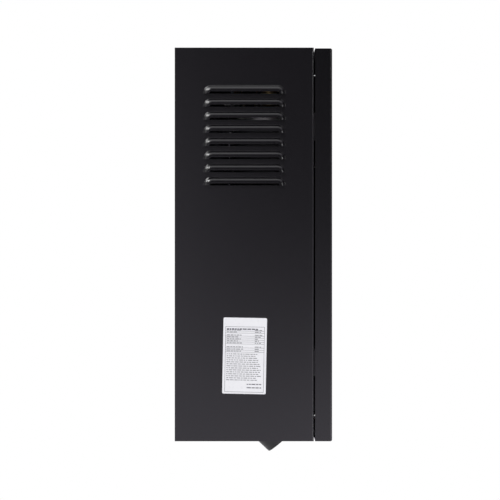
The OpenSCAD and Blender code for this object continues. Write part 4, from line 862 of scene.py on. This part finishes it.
dial_stretch("dial_green", 1.0, 2.0, GREEN_INK)
dial_stretch("dial_red", 3.0, 4.0, RED_INK)
tick_shape = bmesh.new()
for tick in range(10 * DIAL_END + 1):
    inner, width = next((inner, width) for every, inner, width in TICKS if tick % every == 0)
    turned_frame = dial_frame @ spin(dial_angle(tick / 10))
    push_plate(tick_shape, (TICK_OUTER - inner, width, 0.08, 1), -INK_T, INK_T, turned_frame,
               at=((TICK_OUTER + inner) / 2, 0))
finish_part("dial_ticks", tick_shape, DARK_INK)

# %% Set the plain numbers
NUMBER_AWAY, NUMBER_SIZE = 10.4, 5.2


def number_shape(shape, text, place, height):
    """A plain number as flat mesh, centred on its place."""
    letters = bpy.data.curves.new("number_text", "FONT")
    letters.body = text
    letters.size = height
    letters.align_x = letters.align_y = "CENTER"
    letters.extrude = INK_T
    letters.resolution_u = 3
    carrier = bpy.data.objects.new("number_text", letters)
    scene.collection.objects.link(carrier)
    view = bpy.context.evaluated_depsgraph_get()
    flat = bpy.data.meshes.new_from_object(carrier.evaluated_get(view))
    bpy.data.objects.remove(carrier)
    copy_in(shape, flat, place)


digits = bmesh.new()
for value in range(DIAL_END + 1):
    angle = math.radians(dial_angle(value))
    spot = Matrix.Translation((NUMBER_AWAY * math.cos(angle), NUMBER_AWAY * math.sin(angle), 0))
    number_shape(digits, str(value), dial_frame @ spot, NUMBER_SIZE)
finish_part("dial_numbers", digits, DARK_INK)

# %% [markdown]
# ## Pipe threads
# The ends of the pipes under the cabinet are threaded for the installer's unions. The construction
# model has them as plain steps. A thread can be swept as a helix, but its run-out is then hard to
# close. Here it is a grid of points whose radius rises and falls along the helix, so the crest
# fades out by itself. The rest of the pipe is the construction model's own mesh above a cut, in a
# new piece that stands in for the whole pipe.

# %% Cut the threads
THREAD_FOOT, THREAD_TOP, THREAD_PITCH, THREAD_DEPTH = -6.0, 12.9, 1.814, 1.05
THREAD_FLAT, RUN_OUT, CHAMFER_HIGH, CHAMFER_DEEP = 0.12, 1.6, 1.0, 0.9
THREAD_STEPS, ROWS_PER_TURN = 48, 8


def thread_radius(crest, z, turn):
    """The radius of the thread at a height and a share of a turn."""
    phase = (z / THREAD_PITCH - turn) % 1.0
    flank = (abs(phase - 0.5) * 2 - THREAD_FLAT) / (1.0 - 2 * THREAD_FLAT)
    near_end = min(z - THREAD_FOOT, THREAD_TOP - z)
    full = min(1.0, max(0.0, near_end / RUN_OUT))
    chamfer = max(0.0, 1.0 - (z - THREAD_FOOT) / CHAMFER_HIGH) * CHAMFER_DEEP
    return crest - THREAD_DEPTH * min(1.0, max(0.0, flank)) * full - chamfer


def threaded_pipe(node, x, y, crest, bore):
    """A pipe whose lower end is threaded, in place of the construction model's pipe."""
    shape = bmesh.new()
    shape.from_mesh(frame["nodes"][node].data)
    bmesh.ops.transform(shape, matrix=Matrix.Scale(1 / MM, 4), verts=shape.verts)
    bmesh.ops.bisect_plane(
        shape, geom=[*shape.verts, *shape.edges, *shape.faces], plane_co=(0, 0, THREAD_TOP),
        plane_no=(0, 0, 1), clear_inner=True)
    rows = int((THREAD_TOP - THREAD_FOOT) / THREAD_PITCH * ROWS_PER_TURN)
    rings = [[(bore, THREAD_TOP)] * THREAD_STEPS, [(bore, THREAD_FOOT + 0.6)] * THREAD_STEPS,
             [(bore + 0.5, THREAD_FOOT)] * THREAD_STEPS]
    for row in range(rows + 1):
        z = THREAD_FOOT + (THREAD_TOP - THREAD_FOOT) * row / rows
        rings.append([(thread_radius(crest, z, i / THREAD_STEPS), z) for i in range(THREAD_STEPS)])
    circle = round_outline(1.0, THREAD_STEPS)
    corners = [[shape.verts.new((x + r * across, y + r * along, z))
                for (r, z), (across, along) in zip(ring, circle)] for ring in rings]
    for lower, upper in zip(corners, corners[1:] + corners[:1]):
        bridge(shape, lower, upper)
    pipe = finish_part(node + "_threaded", shape, slot_of[node], crease=50.0)
    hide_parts(node)


threaded_pipe("return_pipe", -75.0, -116.0, 13.2, 10.0)
threaded_pipe("supply_pipe", 5.0, -116.0, 13.2, 10.0)
threaded_pipe("relief_outlet", 5.0, -158.0, 10.4, 5.0)

# %% [markdown]
# ## Screws
# Two kinds of screw hold this boiler together: pan heads with a cross recess in the casing, and
# cheese heads with a slot in the clamps. A recess drawn as dark paint would look flat. It is cut
# here with a boolean, once for each kind, and the finished head is copied wherever a screw sits,
# each turned differently, as a hand leaves them.

# %% Make the two screw heads
UPRIGHT = Matrix.Identity(4)


def cross_head(radius, height):
    """A domed pan head with a tapered cross recess."""
    head = bmesh.new()
    turn_profile(head, [(0, 0), (radius - 0.3, 0), (radius, 0.35), (radius * 0.93, height * 0.6),
                        (radius * 0.7, height * 0.9), (radius * 0.35, height), (0, height)],
                 UPRIGHT, 32)
    wide, narrow, deep = radius * 0.55, radius * 0.13, height * 0.35
    for turn in (0, 90):
        blade = bmesh.new()
        loft(blade, [(plate_outline(wide, narrow, narrow / 3, 1), deep),
                     (plate_outline(2.6 * wide, 2.6 * narrow, narrow, 1), height + 1)],
             spin(turn + 0.5))
        finished = cut_away(head, blade)
        head = bmesh.new()
        head.from_mesh(finished)
    head.free()
    return finished


def slot_head(radius, height):
    """A flat cheese head with a straight slot."""
    head, tool = bmesh.new(), bmesh.new()
    turn_profile(head, [(0, 0), (radius, 0), (radius, height * 0.75), (radius * 0.9, height),
                        (0, height)], UPRIGHT, 28)
    push_plate(tool, (2.4 * radius, radius * 0.26, 0.05, 1), height * 0.4, height + 1, UPRIGHT)
    return cut_away(head, tool)


CROSS_HEAD = cross_head(3.6, 2.2)
SLOT_HEAD = slot_head(2.9, 1.6)
print("cross head:", len(CROSS_HEAD.polygons), "faces; slotted head:", len(SLOT_HEAD.polygons))

# %% Fit the casing screws
CASING_X, CASING_Y, UNDERSIDE_Z = 163.0, (-30.0, -186.0), 20.0
casing_shape = bmesh.new()
for x in (-CASING_X, CASING_X):
    for y in CASING_Y:
        copy_in(casing_shape, CROSS_HEAD, on_underside(x, y, UNDERSIDE_Z, dice.uniform(0, 90)))
casing_slot = slot_of["casing_screws"]
casing_screws = finish_part("casing_screw_heads", casing_shape, casing_slot, crease=30.0)
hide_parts("casing_screws")

# %% Fit the clamp screws
CONTACTORS_X, CONTACTOR_Z, CLAMP_Y, POLE_PITCH, CLAMP_REACH = (60.0, 108.0), 315.0, -133.3, 13, 28
TERMINALS, TERMINAL_X, TERMINAL_PITCH, TERMINAL_Y, TERMINAL_REACH = 5, 95.5, 11.2, -115.8, 10
EARTH_X, EARTH_PITCH, EARTH_Y, ROW_Z = 44.0, 8, -116.8, 95.0
clamp_shape = bmesh.new()


def clamp_screw(x, y, z):
    """A slotted head on a clamp, turned as it comes."""
    copy_in(clamp_shape, SLOT_HEAD, on_front(x, y, z, dice.uniform(0, 180)))


for contactor_x in CONTACTORS_X:
    for i in (-1, 0, 1):
        for end in (-1, 1):
            clamp_screw(contactor_x + POLE_PITCH * i, CLAMP_Y, CONTACTOR_Z + CLAMP_REACH * end)
for i in range(5):
    clamp_screw(EARTH_X + EARTH_PITCH * i, EARTH_Y, ROW_Z)
for i in range(TERMINALS):
    for end in (-1, 1):
        clamp_screw(TERMINAL_X + TERMINAL_PITCH * i, TERMINAL_Y, ROW_Z + TERMINAL_REACH * end)
finish_part("clamp_screw_heads", clamp_shape, "zinc_steel", crease=30.0)

# %% [markdown]
# ## The control board
# The construction model has relays, a transformer, capacitors, a chip and plug connectors as plain
# blocks of the right size and place. Here each gets its own form and material, since a board reads
# as real by its variety: the fine legs, the score on a capacitor's lid, the pins in a plug. All of
# them stay within the blocks, which they replace.

# %% Lay out the laminate
BOARD_X, BOARD_Z, BOARD_W, BOARD_H, BOARD_FACE = 36.0, 395.0, 124.8, 160.0, -100.0
BOARD_T, POST_IN, POST_L, PLATE_Y = 1.6, 6, 10.0, -88.4
board_middle = on_front(BOARD_X + BOARD_W / 2, BOARD_FACE, BOARD_Z + BOARD_H / 2)
laminate_shape, post_shape = bmesh.new(), bmesh.new()
push_plate(laminate_shape, (BOARD_W, BOARD_H, 2.0), -BOARD_T, 0.0, board_middle, 0.15)
laminate_piece = finish_part("board_laminate", laminate_shape, "board_laminate")
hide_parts("control_board")
for x in (BOARD_X + POST_IN, BOARD_X + BOARD_W - POST_IN):
    for z in (BOARD_Z + POST_IN, BOARD_Z + BOARD_H - POST_IN):
        push_out(post_shape, round_outline(3.0, 6), 0.0, POST_L, on_front(x, PLATE_Y, z), 0.4)
        copy_in(post_shape, SLOT_HEAD, on_front(x, BOARD_FACE, z, dice.uniform(0, 180)))
finish_part("board_posts", post_shape, "brass")


def on_board(x, z):
    """A frame on the board's face, measured from its lower left corner."""
    return on_front(BOARD_X + x, BOARD_FACE, BOARD_Z + z)


print("board:", BOARD_W, "by", BOARD_H, "mm")

# %% Set the relays
relay_finish = moulded("relay_case", "relay_case", (0.020, 0.035, 0.075), 0.34)
relay_shape = bmesh.new()
for i in range(3):
    place = on_board(23.5 + 26 * i, 26.0)
    push_plate(relay_shape, (19.0, 28.0, 0.8), 0.0, 15.6, place, 0.5)
    push_plate(relay_shape, (15.0, 24.0, 0.6), 15.5, 16.0, place, 0.2)
finish_part("board_relays", relay_shape, relay_finish.material)

# %% Set the transformer
core_finish = Finish("core_sheets", (0.16, 0.16, 0.17), 0.5, 0.8)
core_finish.drive((0.5, 2.0, (0.1, 3, 0.1)), ((0.08, 0.08, 0.09), (0.22, 0.22, 0.23)), depth=0.08)
tape_finish = Finish("winding_tape", (0.62, 0.40, 0.05), 0.4)
tape_finish.drive((2.0, 3.0, (1, 0.1, 1)), ((0.50, 0.30, 0.03), (0.70, 0.48, 0.08)), depth=0.08)
TRANSFORMER = on_board(92.8, 127.0)
core_shape, tape_shape = bmesh.new(), bmesh.new()
push_plate(core_shape, (40.0, 34.0, 0.6), 6.0, 20.0, TRANSFORMER, 0.3)
push_plate(core_shape, (40.0, 42.0, 0.8), 0.0, 2.0, TRANSFORMER, 0.3)
push_plate(tape_shape, (27.0, 41.0, 5.0, 5), 1.0, 26.0, TRANSFORMER, 2.5)
finish_part("transformer_core", core_shape, core_finish.material)
finish_part("transformer_winding", tape_shape, tape_finish.material)

# %% Set the capacitors
CAN = [(0, 0), (6.2, 0), (6.5, 0.6), (6.5, 2.4), (6.0, 3.0), (6.0, 3.4), (6.5, 4.0), (6.5, 20.9),
       (5.9, 21.6), (5.2, 21.6), (0, 21.4)]
LID = [(0, 21.2), (5.2, 21.2), (5.2, 21.75), (5.0, 21.9), (0, 21.9)]
sleeve_finish = moulded("capacitor_sleeve", "capacitor_sleeve", (0.018, 0.022, 0.030), 0.25)
sleeve_shape, lid_shape = bmesh.new(), bmesh.new()
for i in range(3):
    place = on_board(20.0 + 18 * i, 136.0)
    turn_profile(sleeve_shape, CAN, place, 32)
    turn_profile(lid_shape, LID, place, 32)
    for turn in (0, 60, 120):
        score = place @ spin(turn)
        push_plate(lid_shape, (8.4, 0.35, 0.1, 1), 21.7, 21.97, score)
finish_part("capacitor_sleeves", sleeve_shape, sleeve_finish.material)
finish_part("capacitor_lids", lid_shape, "motor_alloy")

# %% Draw parts that every board has
def chip_legs(shape, place, count, pitch, away, length, height):
    """A row of legs on each of a chip's four sides."""
    for i in range(count):
        for turn in (0, 90, 180, 270):
            side = place @ spin(turn)
            push_plate(shape, (length, 0.5, 0.1, 1), 0.0, height, side,
                       at=(away, (i - (count - 1) / 2) * pitch))


def tiny_part(chips, solder, place, height):
    """A tiny block between two drops of solder, which stand a hair higher."""
    push_plate(chips, (2.0, 1.1, 0.15, 1), 0.0, height, place, 0.1)
    for end in (-1, 1):
        push_plate(solder, (0.6, 1.2, 0.1, 1), 0.0, height + 0.05, place, at=(1.1 * end, 0))


def socket(shape, place, width, height, floor, rim):
    """An open box with thin walls on a floor."""
    push_plate(shape, (width, height, 0.5), 0.0, floor, place)
    for side in (-1, 1):
        push_plate(shape, (1.0, height, 0.3), floor - 0.1, rim, place, 0.2,
                   ((width / 2 - 0.5) * side, 0))
        push_plate(shape, (width - 1.8, 1.0, 0.3), floor - 0.1, rim, place, 0.2,
                   (0, (height / 2 - 0.5) * side))


print("board parts ready")

# %% Set the chip and the small parts
chip_shape, leg_shape = bmesh.new(), bmesh.new()
CHIP = on_board(29.0, 77.0)
COLUMNS = (8.0, 46.0, 74.0, 86.0, 100.0)
push_plate(chip_shape, (19.0, 19.0, 0.6), 0.5, 3.0, CHIP, 0.4)
for z in (84.0, 70.0):
    push_plate(chip_shape, (9.0, 4.0, 0.3), 0.0, 1.6, on_board(62.0, z), 0.2)
chip_legs(leg_shape, CHIP, 11, 1.5, 10.2, 1.6, 0.5)
for i in range(26):
    x, z = dice.choice(COLUMNS) + dice.uniform(-2, 2), 54.0 + 1.8 * i
    if 58.0 < z < 96.0:
        tiny_part(chip_shape, leg_shape, on_board(x, z), 0.8)
finish_part("board_chips", chip_shape, "black_plastic")
finish_part("board_solder", leg_shape, "bright_steel")

# %% Set the plug connectors
socket_shape, pin_shape = bmesh.new(), bmesh.new()
for i in range(4):
    place = on_board(116.8, 22.0 + 20 * i)
    socket(socket_shape, place, 8.0, 16.0, 2.0, 9.0)
    for pin in range(4):
        push_plate(pin_shape, (1.0, 1.0, 0.2, 1), 1.9, 7.5, place, 0.2, (0, -4.5 + 3 * pin))
finish_part("board_sockets", socket_shape, "pale_plastic")
finish_part("socket_pins", pin_shape, "bright_steel")

# %% [markdown]
# ## Marks on the knobs
# A knob needs a mark, or nobody can set it. The pump's speed knob has a white line on its grip and
# three plain numbers beside it on the terminal box, one for each end of its turn and one between.
# The relief knob has a bent arrow that shows which way it turns. The marks are outlines again, and
# those on a knob ride with it.

# %% Mark the speed knob
KNOB_X, KNOB_Z, KNOB_FACE, BOX_FACE = -75.0, 180.0, -204.3, -198.0
NUMBER_SPOTS = {"1": (0.0, 11.3), "2": (12.6, 7.1), "3": (12.6, -7.1)}
mark_shape, speed_numbers = bmesh.new(), bmesh.new()
push_plate(mark_shape, (0.9, 5.0, 0.3), -INK_T, INK_T, on_front(KNOB_X, KNOB_FACE, KNOB_Z),
           at=(0, 6.4))
finish_part("speed_knob_mark", mark_shape, PALE_INK, "speed_knob")
for number, (x, z) in NUMBER_SPOTS.items():
    number_shape(speed_numbers, number, on_front(KNOB_X + x, BOX_FACE, KNOB_Z + z), 4.6)
finish_part("speed_numbers", speed_numbers, PALE_INK)

# %% Mark the relief knob
ARROW_R, ARROW_START, ARROW_SWEEP, TIP_TURN = 8.5, 30.0, 110.0, 32.0
arrow_face = on_front(5.0, -196.3, 150.0)
arrow_shape = bmesh.new()
push_out(arrow_shape, ring_piece(ARROW_R - 0.5, ARROW_R + 0.5, ARROW_START, ARROW_SWEEP),
         -INK_T, INK_T, arrow_face)
tip = [(ARROW_R - 2.0, 0.0), (ARROW_R, -3.4), (ARROW_R + 2.0, 0.0)]
push_out(arrow_shape, tip, -INK_T, INK_T, arrow_face @ spin(TIP_TURN))
finish_part("relief_arrow", arrow_shape, PALE_INK, "valve_knob")

# %% [markdown]
# ## Seams, lines and tags
# The insulating jacket is a sleeve, closed with a seam of tape along its height, between the
# straps. Each contactor carries two fine lines and two bare tags, and each terminal one bare tag.
# They break up plain faces, as on the real parts.

# %% Tape the jacket's seam
TANK_X, TANK_Y, JACKET_R, JACKET_TOP = -75.0, -147.3, 58.0, 478.0
LOWER_STRAP, UPPER_STRAP, STRAP_CLEAR = 239.0, 365.0, 11
SEAM_W, SEAM_ANGLE = 22.0, -60.0
seam_finish = Finish("seam_tape", (0.30, 0.30, 0.31), 0.35, 0.4)
seam_finish.drive((9.0, 4.0, (1, 1, 3)),
                  ((0.24, 0.24, 0.25), (0.38, 0.38, 0.39)), (0.28, 0.5), 0.25)
seam_shape = bmesh.new()
half_angle = math.degrees(SEAM_W / 2 / JACKET_R)
seam_outline = ring_piece(
    JACKET_R - 0.2, JACKET_R + 0.25, SEAM_ANGLE - half_angle, 2 * half_angle, 8)
seam_place = Matrix.Translation((TANK_X, TANK_Y, 0))
for low, high in ((LOWER_STRAP + STRAP_CLEAR, UPPER_STRAP - STRAP_CLEAR),
                  (UPPER_STRAP + STRAP_CLEAR, JACKET_TOP)):
    push_out(seam_shape, seam_outline, low, high, seam_place)
finish_part("jacket_seam", seam_shape, seam_finish.material)

# %% Detail the contactors and terminals
CONTACTOR_FACE, TERMINAL_FACE = -165.9, -133.9
line_shape, tag_shape = bmesh.new(), bmesh.new()
for contactor_x in CONTACTORS_X:
    face = on_front(contactor_x, CONTACTOR_FACE, CONTACTOR_Z)
    for side in (-1, 1):
        push_plate(line_shape, (0.5, 30.0, 0.2), -0.2, 0.25, face, at=(17.0 * side, 0))
    push_plate(tag_shape, (12.0, 4.0, 0.5), -0.2, 0.3, face, 0.1, (-9.0, 11.5))
    push_plate(tag_shape, (5.0, 4.0, 0.5), -0.2, 0.3, face, 0.1, (11.0, 11.5))
for i in range(TERMINALS):
    tag_place = on_front(TERMINAL_X + TERMINAL_PITCH * i, TERMINAL_FACE, ROW_Z)
    push_plate(tag_shape, (8.0, 5.0, 0.5), -0.2, 0.3, tag_place, 0.1)
finish_part("contactor_lines", line_shape, DARK_INK)
finish_part("plain_tags", tag_shape, "button_plastic")

# %% [markdown]
# ## The back of the display board
# With the door open, the board behind the fascia shows its back, with a few small parts and the
# plug where the installer's cable would go. It is dressed like the control board, with the same
# helpers.

# %% Dress the display board
BOARD_BACK = -226.4
back_shape, back_legs, back_plug = bmesh.new(), bmesh.new(), bmesh.new()


def behind_door(x, z):
    """A frame on the display board's back."""
    return face_frame((x, BOARD_BACK, z), (-1, 0, 0), (0, 0, 1))


BACK_CHIP = behind_door(-18.0, 432.0)
push_plate(back_shape, (12.0, 12.0, 0.5), 0.2, 1.6, BACK_CHIP, 0.2)
push_plate(back_shape, (8.0, 5.0, 0.3), 0.0, 1.4, behind_door(-44.0, 420.0), 0.2)
chip_legs(back_legs, BACK_CHIP, 7, 1.4, 6.4, 1.2, 0.4)
for i in range(12):
    spot = behind_door(dice.uniform(-60, 30), dice.uniform(412, 448))
    tiny_part(back_shape, back_legs, spot, 0.7)
socket(back_plug, behind_door(44.0, 430.0), 16.0, 6.0, 1.5, 6.0)
finish_part("display_chips", back_shape, "black_plastic", "door")
finish_part("display_solder", back_legs, "bright_steel", "door")
finish_part("display_plug", back_plug, "pale_plastic", "door")

# %% [markdown]
# ## The size
# The dressed boiler has to stay inside the construction model's box, so its own box is printed.

# %% Print the dressed boiler's box
low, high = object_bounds()
print("visual box:", [round(v, 4) for v in (*low, *high)])
